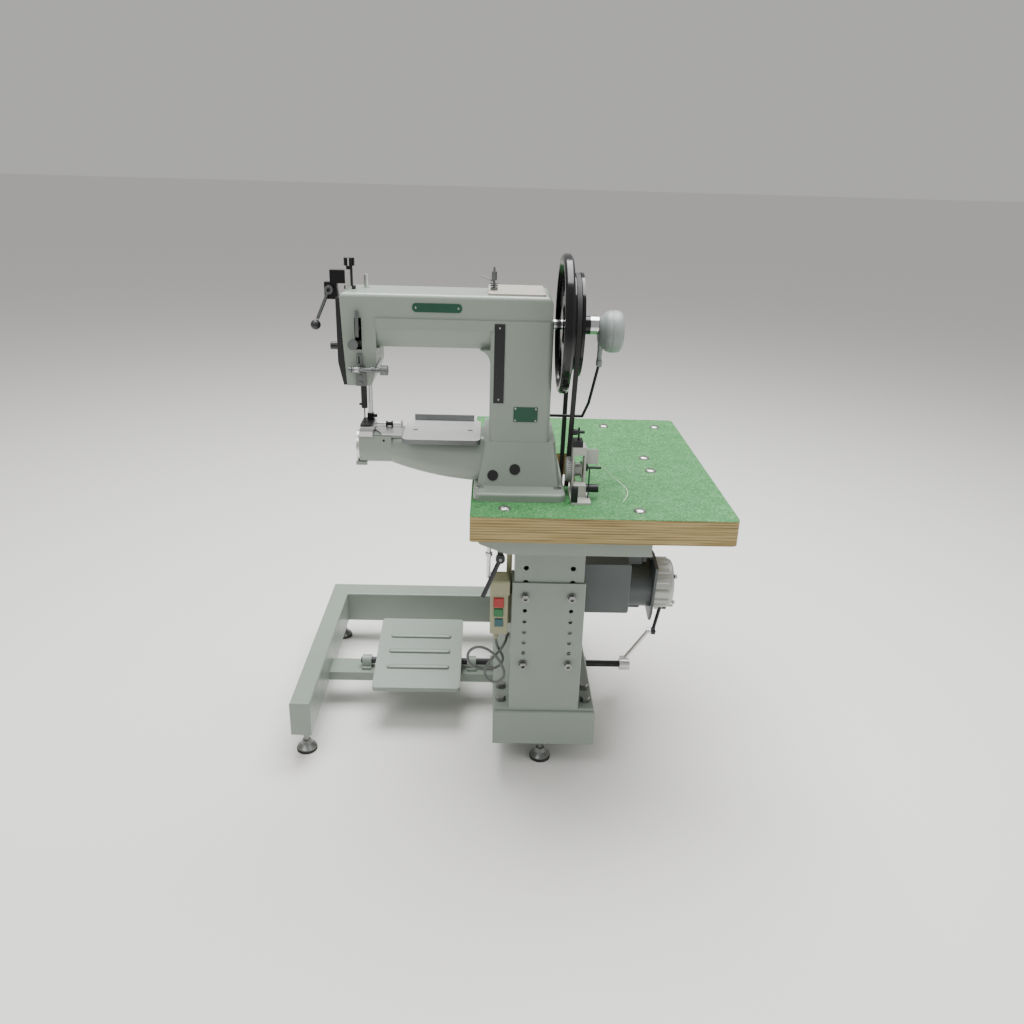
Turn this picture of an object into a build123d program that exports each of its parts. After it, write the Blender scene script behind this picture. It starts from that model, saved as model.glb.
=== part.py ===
from build123d import *
import os
from math import cos, radians, sin, tan

os.makedirs("parts", exist_ok=True)

# Heavy cylinder-arm sewing machine on its own work stand.
# Millimetres. +X runs from the needle end to the hand wheel, +Y away from the operator,
# +Z up. The origin is on the floor, under the middle of the whole machine.

# --- driving dimensions: stand -------------------------------------------------------
STAND_LEFT, STAND_RIGHT = -445.0, 222.0
STAND_BACK = 362.5
SHEET, PRESSED_R = 3.0, 4.5
FRAME_LOW, FRAME_TOP = 68.0, 150.0
LEFT_BEAM_WIDTH, LEFT_BEAM_FRONT = 45.0, -221.0
REAR_BEAM_WIDTH = 60.0
CROSS_FRONT, CROSS_BACK, CROSS_LOW, CROSS_TOP = 4.0, 68.0, 66.0, 88.0
FOOT_LEFT, FOOT_FRONT = 0.0, -240.0
FEET = [(-422.0, -178.0), (-422.0, 335.0), (109.0, -195.0), (109.0, 335.0)]
STUD_R = 6.0
COLUMN_X, COLUMN_WIDTH, COLUMN_WALL = 109.0, 152.0, 4.0
COLUMN_FRONT, COLUMN_BACK, COLUMN_TOP = -233.0, -171.0, 458.0
COLUMN_HOLE_X = (61.0, 157.0)
COLUMN_BOLT_Z = (266.0, 426.0)
BEARER_LOW = 573.0

# --- driving dimensions: table -------------------------------------------------------
TABLE_LEFT, TABLE_RIGHT = -52.5, 445.0
TABLE_FRONT, TABLE_BACK = -362.5, 318.5
TABLE_TOP, TABLE_THICK, LAMINATE = 655.0, 50.0, 1.0
TABLE_CORNER_R = 12.0
SLOT_X0, SLOT_X1, SLOT_FRONT, SLOT_BACK = 130.0, 158.0, -190.0, 24.0
TABLE_BOLTS = [(11.5, -320.0), (265.0, -320.0), (11.5, 249.0), (263.0, 249.0),
               (390.0, 249.0), (324.0, -86.0), (324.0, 0.5)]

# --- driving dimensions: head --------------------------------------------------------
AXIS_Y = -160.0          # every shaft in the head lies in this plane
SHAFT_Z = 971.0          # main shaft
LOWER_Z = 724.0          # shaft in the cylinder arm
SHAFT_R, LOWER_R = 10.0, 8.0
RUN = 0.08               # radial running clearance of a shaft in its bush
ARM_FRONT, ARM_BACK, ARM_TOP, ARM_LOW = -218.0, -102.0, 1028.0, 930.0
PILLAR_LEFT, PILLAR_RIGHT, PILLAR_BACK = -20.5, 96.0, -64.0
SHOULDER_Z, LEDGE_Z = 755.0, 984.0
HEAD_LEFT, HEAD_RIGHT, HEAD_LOW = -296.5, -232.0, 858.0
BASE_LEFT, BASE_RIGHT, BASE_FRONT, BASE_BACK, BASE_THICK = -48.0, 128.0, -284.5, -20.0, 16.0
NOSE_LEFT, NOSE_R = -275.0, 33.0
ARM_DECK_Z = 757.0       # flat top of the cylinder arm
PLATE_Z = 768.0          # top of the needle plate
NEEDLE_X, NEEDLE_BAR_R = -266.0, 6.0
PRESSER_X, PRESSER_Y, PRESSER_BAR_R = -258.0, -134.0, 5.0

# --- driving dimensions: drive -------------------------------------------------------
WHEEL_R, WHEEL_X0, WHEEL_X1 = 130.5, 110.0, 128.0
BELT_X, BELT_WIDTH, BELT_THICK = 139.0, 9.0, 8.0
HEAD_PULLEY_R, MOTOR_PULLEY_R = 97.0, 50.0
MOTOR_Y, MOTOR_Z, MOTOR_R = -40.0, 372.0, 56.0
TREADLE_Y, TREADLE_Z, TREADLE_R = 37.5, 104.0, 8.0
CRANK_DY, CRANK_DZ = 60.0, 61.0     # crank and motor lever are parallel and equal
ROD_LOW = (404.0, TREADLE_Y + CRANK_DY, TREADLE_Z + CRANK_DZ)
ROD_HIGH = (432.0, TREADLE_Y + CRANK_DY, 332.0)
LEVER_PIN_R = 4.0


def block(x0, x1, y0, y1, z0, z1, mode=Mode.ADD):
    """A box between two corners, joined to the piece being built."""
    with Locations(((x0 + x1) / 2, (y0 + y1) / 2, (z0 + z1) / 2)):
        Box(x1 - x0, y1 - y0, z1 - z0, mode=mode)


TURN = {"X": (0, 90, 0), "Y": (-90, 0, 0), "Z": (0, 0, 0)}


def bar(axis, start, length, radius, mode=Mode.ADD):
    """A round bar that runs from start along +axis."""
    with Locations(Location(start, TURN[axis])):
        Cylinder(radius, length, align=(Align.CENTER, Align.CENTER, Align.MIN), mode=mode)


def taper(axis, start, length, radius, end_radius, mode=Mode.ADD):
    """A cone frustum that runs from start along +axis."""
    with Locations(Location(start, TURN[axis])):
        Cone(radius, end_radius, length, align=(Align.CENTER, Align.CENTER, Align.MIN), mode=mode)


def hexagon(axis, start, length, across_flats, mode=Mode.ADD):
    """A hexagonal head or nut that runs from start along +axis."""
    with BuildSketch(Plane(Location(start, TURN[axis]))) as six_sides:
        RegularPolygon(across_flats / 2, 6, major_radius=False)
    extrude(six_sides.sketch, amount=length, mode=mode)


def leaning_bar(start, end, radius, mode=Mode.ADD):
    """A round bar between any two points."""
    line = Vector(*end) - Vector(*start)
    with BuildSketch(Plane(origin=start, z_dir=line)) as round_section:
        Circle(radius)
    extrude(round_section.sketch, amount=line.length, mode=mode)


# =====================================================================================
# Stand: an open-bottomed pressed-steel floor frame
# =====================================================================================
beam_right = STAND_LEFT + LEFT_BEAM_WIDTH
rear_front = STAND_BACK - REAR_BEAM_WIDTH

with BuildPart() as floor_frame:
    block(STAND_LEFT, beam_right, LEFT_BEAM_FRONT, STAND_BACK, FRAME_LOW, FRAME_TOP)
    block(beam_right, FOOT_LEFT, rear_front, STAND_BACK, FRAME_LOW, FRAME_TOP)
    fillet(floor_frame.edges().group_by(Axis.Z)[-1], PRESSED_R)
    block(STAND_LEFT + SHEET, beam_right - SHEET, LEFT_BEAM_FRONT + SHEET, STAND_BACK - SHEET,
          FRAME_LOW, FRAME_TOP - SHEET, Mode.SUBTRACT)
    block(STAND_LEFT + SHEET, FOOT_LEFT - SHEET, rear_front + SHEET, STAND_BACK - SHEET,
          FRAME_LOW, FRAME_TOP - SHEET, Mode.SUBTRACT)
    block(beam_right, FOOT_LEFT, CROSS_FRONT, CROSS_BACK, CROSS_LOW, CROSS_TOP)
    block(beam_right, FOOT_LEFT, CROSS_FRONT + SHEET, CROSS_BACK - SHEET, CROSS_LOW,
          CROSS_TOP - SHEET, Mode.SUBTRACT)
    for x, y in FEET[:2]:
        block(STAND_LEFT + SHEET, beam_right - SHEET, y - 18, y + 18, FRAME_LOW, FRAME_LOW + 6)
        bar("Z", (x, y, FRAME_LOW), 6, STUD_R + 0.25, Mode.SUBTRACT)
floor_frame.part.label = "floor_frame"
export_step(floor_frame.part, "parts/floor_frame.step")

# The wide foot under the column: the treadle shaft passes through its two sides.
with BuildPart() as base_foot:
    block(FOOT_LEFT, STAND_RIGHT, FOOT_FRONT, STAND_BACK, FRAME_LOW, FRAME_TOP)
    fillet(base_foot.edges().group_by(Axis.Z)[-1], PRESSED_R)
    block(FOOT_LEFT + SHEET, STAND_RIGHT - SHEET, FOOT_FRONT + SHEET, STAND_BACK - SHEET,
          FRAME_LOW, FRAME_TOP - SHEET, Mode.SUBTRACT)
    bar("X", (FOOT_LEFT, TREADLE_Y, TREADLE_Z), STAND_RIGHT - FOOT_LEFT, 12, Mode.SUBTRACT)
    for x, y in FEET[2:]:
        block(FOOT_LEFT + SHEET, STAND_RIGHT - SHEET, y - 18, y + 18, FRAME_LOW, FRAME_LOW + 6)
        bar("Z", (x, y, FRAME_LOW), 6, STUD_R + 0.25, Mode.SUBTRACT)
base_foot.part.label = "base_foot"
export_step(base_foot.part, "parts/base_foot.step")

# Levelling feet: a threaded stud with a lock nut on a steel pad with a rubber sole.
PAD_R, SOLE = 22.0, 6.0
with BuildPart() as levelling_feet:
    for x, y in FEET:
        with BuildSketch(Plane.XZ.offset(-y)):
            with BuildLine():
                Polyline((x, SOLE), (x + PAD_R, SOLE), (x + PAD_R, SOLE + 3), (x + 13, 17),
                         (x + 9, 26), (x + STUD_R, 27), (x + STUD_R, 84), (x, 84), close=True)
            make_face()
        revolve(axis=Axis((x, y, 0), (0, 0, 1)))
        hexagon("Z", (x, y, FRAME_LOW - 8), 8, 19)
        bar("Z", (x, y, 0), SOLE, PAD_R + 1)
levelling_feet.part.label = "levelling_feet"
export_step(levelling_feet.part, "parts/levelling_feet.step")

# =====================================================================================
# Telescopic column
# =====================================================================================
col_left, col_right = COLUMN_X - COLUMN_WIDTH / 2, COLUMN_X + COLUMN_WIDTH / 2
FLANGE = 6.0
BASE_BOLTS = [(17.0, -200.0), (203.0, -200.0), (17.0, -150.0), (203.0, -150.0)]
HOLE_PITCH, HOLE_R = 25.2, 4.5

with BuildPart() as outer_column:
    block(col_left, col_right, COLUMN_FRONT, COLUMN_BACK, FRAME_TOP, COLUMN_TOP)
    fillet(outer_column.edges().filter_by(Axis.Z), 3)
    block(4, STAND_RIGHT - 4, COLUMN_FRONT, -136, FRAME_TOP, FRAME_TOP + FLANGE)
    block(col_left + COLUMN_WALL, col_right - COLUMN_WALL, COLUMN_FRONT + COLUMN_WALL,
          COLUMN_BACK - COLUMN_WALL, FRAME_TOP, COLUMN_TOP, Mode.SUBTRACT)
    for x in COLUMN_HOLE_X:
        for z in COLUMN_BOLT_Z:
            bar("Y", (x, COLUMN_FRONT, z), COLUMN_WALL, 5.5, Mode.SUBTRACT)
        for step in range(1, 6):
            bar("Y", (x, COLUMN_FRONT, COLUMN_BOLT_Z[0] + step * HOLE_PITCH + 2), COLUMN_WALL,
                HOLE_R, Mode.SUBTRACT)
    for x, y in BASE_BOLTS:
        bar("Z", (x, y, FRAME_TOP), FLANGE, 6.5, Mode.SUBTRACT)
outer_column.part.label = "outer_column"
export_step(outer_column.part, "parts/outer_column.step")

slide_left, slide_right = col_left + COLUMN_WALL + 0.5, col_right - COLUMN_WALL - 0.5
slide_front, slide_back = COLUMN_FRONT + COLUMN_WALL, COLUMN_BACK - COLUMN_WALL - 0.5
INNER_LOW, INNER_PITCH = 240.0, 32.0
with BuildPart() as inner_column:
    block(slide_left, slide_right, slide_front, slide_back, INNER_LOW, BEARER_LOW)
    block(slide_left + COLUMN_WALL, slide_right - COLUMN_WALL, slide_front + COLUMN_WALL,
          slide_back - COLUMN_WALL, INNER_LOW, BEARER_LOW - COLUMN_WALL, Mode.SUBTRACT)
    for x in COLUMN_HOLE_X:
        for step in range(8):
            bar("Y", (x, slide_front, COLUMN_BOLT_Z[0] + step * INNER_PITCH), COLUMN_WALL,
                5.5, Mode.SUBTRACT)
inner_column.part.label = "inner_column"
export_step(inner_column.part, "parts/inner_column.step")

# Column bolts with washers, and the bolts that hold the column's flange to the foot.
with BuildPart() as stand_bolts:
    for x in COLUMN_HOLE_X:
        for z in COLUMN_BOLT_Z:
            bar("Y", (x, COLUMN_FRONT - 2.5, z), 2.5, 10.5)
            hexagon("Y", (x, COLUMN_FRONT - 10.5, z), 8, 15)
            bar("Y", (x, COLUMN_FRONT, z), 14, 5)
            bar("Y", (x, COLUMN_FRONT - 10.5, z), 4, 4, Mode.SUBTRACT)
    for x, y in BASE_BOLTS:
        bar("Z", (x, y, FRAME_TOP + FLANGE), 2.5, 12)
        hexagon("Z", (x, y, FRAME_TOP + FLANGE + 2.5), 8, 18)
        bar("Z", (x, y, FRAME_TOP), FLANGE, 6)
stand_bolts.part.label = "stand_bolts"
export_step(stand_bolts.part, "parts/stand_bolts.step")

# =====================================================================================
# Table: bearers, plywood board, green laminate, bolts
# =====================================================================================
board_low = TABLE_TOP - TABLE_THICK
BEARER = 3.0
BRACKET_LEFT, BRACKET_RIGHT, BRACKET_FRONT = -42.0, 288.0, -345.5
RAIL_LEFT, RAIL_RIGHT, RAIL_WIDTH = 44.0, 228.0, 30.0

with BuildPart() as table_bearers:
    with BuildSketch(Plane.XZ.offset(-BRACKET_FRONT)):
        with BuildLine():
            Polyline((BRACKET_LEFT, board_low), (BRACKET_LEFT + 8, board_low - 12), (18, BEARER_LOW),
                     (BRACKET_RIGHT, BEARER_LOW), (BRACKET_RIGHT + 3, board_low), close=True)
        make_face()
    extrude(amount=-(COLUMN_BACK - BRACKET_FRONT))
    block(20, BRACKET_RIGHT - BEARER, BRACKET_FRONT + BEARER, COLUMN_BACK, BEARER_LOW + BEARER,
          board_low - BEARER, Mode.SUBTRACT)
    for left in (RAIL_LEFT, RAIL_RIGHT):
        block(left, left + RAIL_WIDTH, COLUMN_BACK, 270, BEARER_LOW + 8, board_low)
        block(left + BEARER, left + RAIL_WIDTH - BEARER, COLUMN_BACK, 270, BEARER_LOW + 8,
              board_low - BEARER, Mode.SUBTRACT)
    block(-10, 412, 232, 266, board_low - BEARER, board_low)
    block(-10, 412, 232, 232 + BEARER, BEARER_LOW + 8, board_low)
    for x, y in TABLE_BOLTS[:5]:
        bar("Z", (x, y, BEARER_LOW), TABLE_THICK, 4.5, Mode.SUBTRACT)
    # hanger of the lifting lever
    block(0, 12, -323, -315, 548, BEARER_LOW)
    bar("Y", (6, -337, 557), 20, 3)
table_bearers.part.label = "table_bearers"
export_step(table_bearers.part, "parts/table_bearers.step")


def table_sheet(low, thick):
    """One full-size layer of the table: sharp left corners, a well rounded front right one."""
    with BuildSketch(Plane.XY.offset(low)) as layer:
        with Locations(((TABLE_LEFT + TABLE_RIGHT) / 2, (TABLE_FRONT + TABLE_BACK) / 2)):
            Rectangle(TABLE_RIGHT - TABLE_LEFT, TABLE_BACK - TABLE_FRONT)
        front_right = layer.vertices().sort_by_distance((TABLE_RIGHT, TABLE_FRONT, low))[0]
        fillet(front_right, TABLE_CORNER_R)
        back_right = layer.vertices().sort_by_distance((TABLE_RIGHT, TABLE_BACK, low))[0]
        fillet(back_right, 12)
        fillet(layer.vertices().group_by(Axis.X)[0], 6)
        with Locations(((SLOT_X0 + SLOT_X1) / 2, (SLOT_FRONT + SLOT_BACK) / 2)):
            RectangleRounded(SLOT_X1 - SLOT_X0, SLOT_BACK - SLOT_FRONT, 6, mode=Mode.SUBTRACT)
        with Locations(*TABLE_BOLTS):
            Circle(4.5, mode=Mode.SUBTRACT)
    extrude(layer.sketch, amount=thick)


with BuildPart() as table_top:
    table_sheet(board_low, TABLE_THICK - LAMINATE)
table_top.part.label = "table_top"
export_step(table_top.part, "parts/table_top.step")

with BuildPart() as table_laminate:
    table_sheet(TABLE_TOP - LAMINATE, LAMINATE)
table_laminate.part.label = "table_laminate"
export_step(table_laminate.part, "parts/table_laminate.step")

# Round-headed table bolts, and the four bolts through the machine's base plate.
base_top = TABLE_TOP + BASE_THICK
HEAD_BOLTS = [(-36.0, -250.0), (114.0, -250.0), (-36.0, -33.0), (114.0, -33.0)]
with BuildPart() as machine_bolts:
    for x, y in TABLE_BOLTS:
        bar("Z", (x, y, board_low - 12), TABLE_THICK + 12, 4)
        taper("Z", (x, y, TABLE_TOP), 2, 11, 10)
        taper("Z", (x, y, TABLE_TOP + 2), 2.6, 10, 5)
    for x, y in HEAD_BOLTS:
        bar("Z", (x, y, base_top), 2, 8)
        bar("Z", (x, y, TABLE_TOP), BASE_THICK, 4)
    # adjusting screw under the table's left front corner
    bar("Z", (-16, -320, 512), 72, 4)
    bar("Z", (-16, -320, 559), 6, 7)
machine_bolts.part.label = "machine_bolts"
export_step(machine_bolts.part, "parts/machine_bolts.step")

# =====================================================================================
# Switch box on the left of the column, with three push buttons
# =====================================================================================
BOX_X0, BOX_X1, BOX_FRONT, BOX_BACK, BOX_LOW, BOX_TOP = -11.0, 26.0, -235.0, -190.0, 340.0, 431.0
HOOD_TOP = 464.0
BUTTONS = {"red_button": (6.5, 413.5, 21, 22), "green_button": (6.5, 390.5, 19, 18),
           "blue_button": (7.5, 367.0, 17, 18)}
BUTTON_GAP, BUTTON_DEEP, BUTTON_PROUD = 0.3, 12.0, 3.0
GLAND, GLAND_LONG = (2.0, -212.0), 24.0
CORD_R = 3.0

with BuildPart() as switch_box:
    block(BOX_X0, BOX_X1, BOX_FRONT, BOX_BACK, BOX_LOW, BOX_TOP)
    fillet(switch_box.edges().filter_by(Axis.Z), 3)
    block(BOX_X0 + 2, BOX_X1 - 2, BOX_FRONT + 4, BOX_BACK - 2, BOX_LOW + 2, BOX_TOP - 2,
          Mode.SUBTRACT)
    for x, z, wide, high in BUTTONS.values():
        block(x - wide / 2 - BUTTON_GAP, x + wide / 2 + BUTTON_GAP, BOX_FRONT, BOX_FRONT + 4,
              z - high / 2 - BUTTON_GAP, z + high / 2 + BUTTON_GAP, Mode.SUBTRACT)
    taper("Z", (*GLAND, BOX_LOW - GLAND_LONG), GLAND_LONG, CORD_R + 1, 7)
    # arm that carries the box on the column's side
    block(BOX_X1, col_left, -206, -200, 350, 420)
switch_box.part.label = "switch_box"
export_step(switch_box.part, "parts/switch_box.step")

# The cream hood over the box, and the plain strap that rises behind it to the table.
with BuildPart() as switch_hood:
    block(BOX_X0 - 1, BOX_X1 + 3, BOX_FRONT - 3, BOX_BACK + 2, BOX_TOP, HOOD_TOP)
    fillet(switch_hood.edges().filter_by(Axis.Z), 4)
    fillet(switch_hood.edges().group_by(Axis.Z)[-1], 6)
    block(21.5, col_left, BOX_BACK + 2, BOX_BACK + 5, 345, BEARER_LOW)
switch_hood.part.label = "switch_hood"
export_step(switch_hood.part, "parts/switch_hood.step")


def button(x, z, wide, high):
    """A push button: a square cap in the front wall with a stem behind it."""
    block(x - wide / 2, x + wide / 2, BOX_FRONT - BUTTON_PROUD, BOX_FRONT + BUTTON_DEEP,
          z - high / 2, z + high / 2)
    bar("Y", (x, BOX_FRONT + BUTTON_DEEP, z), 12, 4)


with BuildPart() as red_button:
    button(*BUTTONS["red_button"])
    fillet(red_button.edges().group_by(Axis.Y)[0], 1.5)
red_button.part.label = "red_button"
export_step(red_button.part, "parts/red_button.step")

with BuildPart() as green_button:
    button(*BUTTONS["green_button"])
    fillet(green_button.edges().group_by(Axis.Y)[0], 1.5)
green_button.part.label = "green_button"
export_step(green_button.part, "parts/green_button.step")

with BuildPart() as blue_button:
    button(*BUTTONS["blue_button"])
    fillet(blue_button.edges().group_by(Axis.Y)[0], 1.5)
blue_button.part.label = "blue_button"
export_step(blue_button.part, "parts/blue_button.step")

# =====================================================================================
# Motor under the table
# =====================================================================================
MOTOR_X0, MOTOR_X1, COVER_X1 = 166.0, 350.0, 402.0
PLATE_X1 = 356.0
CTRL = (158.0, 290.0, -155.0, -100.0, 350.0, 467.0)
SPINDLE_R = 8.0

with BuildPart() as motor_body:
    bar("X", (MOTOR_X0, MOTOR_Y, MOTOR_Z), MOTOR_X1 - MOTOR_X0, MOTOR_R)
    fillet(motor_body.edges().group_by(Axis.X)[0], 6)
    # mounting flange with its long lower tip
    with BuildSketch(Plane.YZ.offset(MOTOR_X1)):
        with BuildLine():
            Polyline((-118, 440), (-60, 452), (36, 440), (34, 330), (-40, 306), (-84, 296),
                     (-96, 318), close=True)
        make_face()
    extrude(amount=PLATE_X1 - MOTOR_X1)
    # boss that hangs in the bracket, and the pad that carries the control box
    block(300, 330, MOTOR_Y - 20, MOTOR_Y + 20, MOTOR_Z, MOTOR_Z + MOTOR_R + 30)
    block(200, 250, CTRL[3], MOTOR_Y, MOTOR_Z - 12, MOTOR_Z + 12)
    bar("X", (MOTOR_X0, MOTOR_Y, MOTOR_Z), 26, SPINDLE_R + RUN, Mode.SUBTRACT)
    bar("X", (300, MOTOR_Y, MOTOR_Z + MOTOR_R + 18), 30, 5.2, Mode.SUBTRACT)
motor_body.part.label = "motor_body"
export_step(motor_body.part, "parts/motor_body.step")

# Cast end cover with cooling ribs round it, and the lug that carries the motor lever.
LUG_Y, LUG_Z = ROD_HIGH[1] - CRANK_DY, ROD_HIGH[2] - CRANK_DZ
with BuildPart() as motor_end_cover:
    bar("X", (PLATE_X1, MOTOR_Y, MOTOR_Z), COVER_X1 - PLATE_X1, MOTOR_R - 2)
    fillet(motor_end_cover.edges().group_by(Axis.X)[-1], 8)
    with BuildSketch(Plane.YZ.offset(PLATE_X1)):
        with Locations((MOTOR_Y, MOTOR_Z)):
            with PolarLocations(MOTOR_R - 4, 14):
                Circle(7)
    extrude(amount=34)
    with BuildSketch(Plane.YZ.offset(COVER_X1 - 14)):
        with BuildLine():
            Polyline((MOTOR_Y + 10, MOTOR_Z - 20), (MOTOR_Y + 34, MOTOR_Z - 6),
                     (LUG_Y + 9, LUG_Z + 4), (LUG_Y - 2, LUG_Z - 9), close=True)
        make_face()
    extrude(amount=8)
    bar("X", (COVER_X1 - 14, LUG_Y, LUG_Z), 8, 10)
    bar("X", (COVER_X1 - 6, LUG_Y, LUG_Z), 36, LEVER_PIN_R)
    bar("X", (COVER_X1, MOTOR_Y - 38, MOTOR_Z + 32), 5, 5)
    bar("X", (COVER_X1, MOTOR_Y - 38, MOTOR_Z - 32), 5, 5)
motor_end_cover.part.label = "motor_end_cover"
export_step(motor_end_cover.part, "parts/motor_end_cover.step")

with BuildPart() as motor_bracket:
    block(288, 360, -112, 26, board_low - 8, board_low)
    for x in (292, 330):
        block(x, x + 8, MOTOR_Y - 24, MOTOR_Y + 24, MOTOR_Z + MOTOR_R + 4, board_low - 8)
    bar("X", (286, MOTOR_Y, MOTOR_Z + MOTOR_R + 18), 58, 5)
    hexagon("X", (279, MOTOR_Y, MOTOR_Z + MOTOR_R + 18), 13, 16)
    for x, y in TABLE_BOLTS[5:]:
        bar("Z", (x, y, board_low - 8), 8, 4.5, Mode.SUBTRACT)
motor_bracket.part.label = "motor_bracket"
export_step(motor_bracket.part, "parts/motor_bracket.step")

with BuildPart() as control_box:
    block(*CTRL)
    fillet(control_box.edges().filter_by(Axis.Y), 6)
    fillet(control_box.edges().group_by(Axis.Y)[0], 2)
    block(CTRL[0] + 3, CTRL[1] - 3, CTRL[2] + 3, CTRL[3] - 3, CTRL[4] + 3, CTRL[5] - 3, Mode.SUBTRACT)
control_box.part.label = "control_box"
export_step(control_box.part, "parts/control_box.step")


def pulley_profile(x0, x1, radius, bore):
    """Half section of a V-belt pulley, as (x, distance from the shaft) points."""
    groove = BELT_WIDTH / 2 + 1
    floor = radius - BELT_THICK - 4
    return [(x0, bore), (x0, radius), (BELT_X - groove, radius), (BELT_X - groove + 1, floor),
            (BELT_X + groove - 1, floor), (BELT_X + groove, radius), (x1, radius), (x1, bore)]


def turned(points, axis_y, axis_z):
    """A turned piece about a shaft along X, from a half section."""
    with BuildSketch(Plane.XZ.offset(-axis_y)) as half_section:
        with BuildLine():
            Polyline(*[(x, axis_z + r) for x, r in points], close=True)
        make_face()
    revolve(half_section.sketch, axis=Axis((0, axis_y, axis_z), (1, 0, 0)))


with BuildPart() as motor_pulley:
    turned(pulley_profile(128, 150, MOTOR_PULLEY_R, 0), MOTOR_Y, MOTOR_Z)
    bar("X", (122, MOTOR_Y, MOTOR_Z), 68, SPINDLE_R)
motor_pulley.part.label = "motor_pulley"
export_step(motor_pulley.part, "parts/motor_pulley.step")

# Belt: a closed loop round both pulleys.
with BuildPart() as drive_belt:
    for shrink, mode in ((1, Mode.ADD), (1 + BELT_THICK, Mode.SUBTRACT)):
        with BuildSketch(Plane.YZ.offset(BELT_X - BELT_WIDTH / 2)):
            with Locations((AXIS_Y, SHAFT_Z)):
                Circle(HEAD_PULLEY_R - shrink)
            with Locations((MOTOR_Y, MOTOR_Z)):
                Circle(MOTOR_PULLEY_R - shrink)
            make_hull()
        extrude(amount=BELT_WIDTH, mode=mode)
drive_belt.part.label = "drive_belt"
export_step(drive_belt.part, "parts/drive_belt.step")

# =====================================================================================
# Treadle, its shaft, and the rod up to the motor's lever
# =====================================================================================
PAD_X0, PAD_X1, PAD_FRONT, PAD_DEPTH = -284.5, -78.0, -87.0, 247.0
PAD_TILT = 11.7
PAD_FRONT_Z, PAD_LIP = 106.0, 12.0
HUB_R, HUB_LONG = 14.0, 20.0
PEDESTALS = (-322.0, -64.0)

with BuildPart() as shaft_bearings:
    for x in PEDESTALS:
        block(x, x + 22, 16, 59, CROSS_TOP, 94)
        block(x, x + 22, 24, 51, CROSS_TOP, TREADLE_Z)
        bar("X", (x, TREADLE_Y, TREADLE_Z), 22, 13.5)
        bar("X", (x, TREADLE_Y, TREADLE_Z), 22, TREADLE_R + RUN, Mode.SUBTRACT)
    for x, flange in ((FOOT_LEFT, FOOT_LEFT - 8), (STAND_RIGHT - SHEET, STAND_RIGHT)):
        bar("X", (x, TREADLE_Y, TREADLE_Z), SHEET, 12)
        bar("X", (flange, TREADLE_Y, TREADLE_Z), 8, 16)
        bar("X", (flange - SHEET, TREADLE_Y, TREADLE_Z), 14, TREADLE_R + RUN, Mode.SUBTRACT)
shaft_bearings.part.label = "shaft_bearings"
export_step(shaft_bearings.part, "parts/shaft_bearings.step")

pad_plane = Plane(origin=((PAD_X0 + PAD_X1) / 2, PAD_FRONT, PAD_FRONT_Z), x_dir=(1, 0, 0),
                  z_dir=(0, -sin(radians(PAD_TILT)), cos(radians(PAD_TILT))))
pad_width = PAD_X1 - PAD_X0
with BuildPart() as treadle_plate:
    with BuildSketch(pad_plane):
        with Locations((0, PAD_DEPTH / 2)):
            RectangleRounded(pad_width, PAD_DEPTH, 8)
    extrude(amount=-PAD_LIP)
    with BuildSketch(pad_plane.offset(-SHEET)):
        with Locations((0, PAD_DEPTH / 2)):
            RectangleRounded(pad_width - 2 * SHEET, PAD_DEPTH - 2 * SHEET, 5)
    extrude(amount=-PAD_LIP, mode=Mode.SUBTRACT)
    with BuildSketch(pad_plane):
        for along in (70, 125, 180):
            with Locations((0, along)):
                SlotOverall(150, 12)
    extrude(amount=2.5)
    for x in (PAD_X0, PAD_X1 - HUB_LONG):
        block(x, x + HUB_LONG, TREADLE_Y - 10, TREADLE_Y + 10, TREADLE_Z, 127)
        bar("X", (x, TREADLE_Y, TREADLE_Z), HUB_LONG, HUB_R)
        bar("X", (x, TREADLE_Y, TREADLE_Z), HUB_LONG, TREADLE_R, Mode.SUBTRACT)
treadle_plate.part.label = "treadle_plate"
export_step(treadle_plate.part, "parts/treadle_plate.step")

CRANK_X0, CRANK_X1 = 314.0, 339.0
with BuildPart() as treadle_shaft:
    bar("X", (PEDESTALS[0] - 4, TREADLE_Y, TREADLE_Z), CRANK_X1 + 3 - PEDESTALS[0], TREADLE_R)
    # clamp and crank on the shaft's right end
    bar("X", (CRANK_X0, TREADLE_Y, TREADLE_Z), CRANK_X1 - CRANK_X0, 15)
    block(CRANK_X0 + 4, CRANK_X1 - 4, TREADLE_Y + 8, TREADLE_Y + 26, TREADLE_Z - 8, TREADLE_Z + 8)
    leaning_bar((CRANK_X1 - 12, TREADLE_Y + 10, TREADLE_Z + 8), (392, ROD_LOW[1], ROD_LOW[2]), 5.5)
    bar("X", (387, ROD_LOW[1], ROD_LOW[2]), 7, 8)
    bar("X", (387, ROD_LOW[1], ROD_LOW[2]), 26, LEVER_PIN_R)
treadle_shaft.part.label = "treadle_shaft"
export_step(treadle_shaft.part, "parts/treadle_shaft.step")

with BuildPart() as pitman_rod:
    leaning_bar((ROD_LOW[0], ROD_LOW[1], ROD_LOW[2] + 6), (ROD_HIGH[0], ROD_HIGH[1], ROD_HIGH[2] - 6), 4.5)
    bar("X", (ROD_LOW[0] - 5, ROD_LOW[1], ROD_LOW[2]), 10, 9)
    bar("X", (ROD_HIGH[0] - 5, ROD_HIGH[1], ROD_HIGH[2]), 10, 9)
    bar("X", (ROD_LOW[0] - 6, ROD_LOW[1], ROD_LOW[2]), 12, LEVER_PIN_R + RUN, Mode.SUBTRACT)
    bar("X", (ROD_HIGH[0] - 6, ROD_HIGH[1], ROD_HIGH[2]), 12, LEVER_PIN_R + RUN, Mode.SUBTRACT)
pitman_rod.part.label = "pitman_rod"
export_step(pitman_rod.part, "parts/pitman_rod.step")

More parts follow.
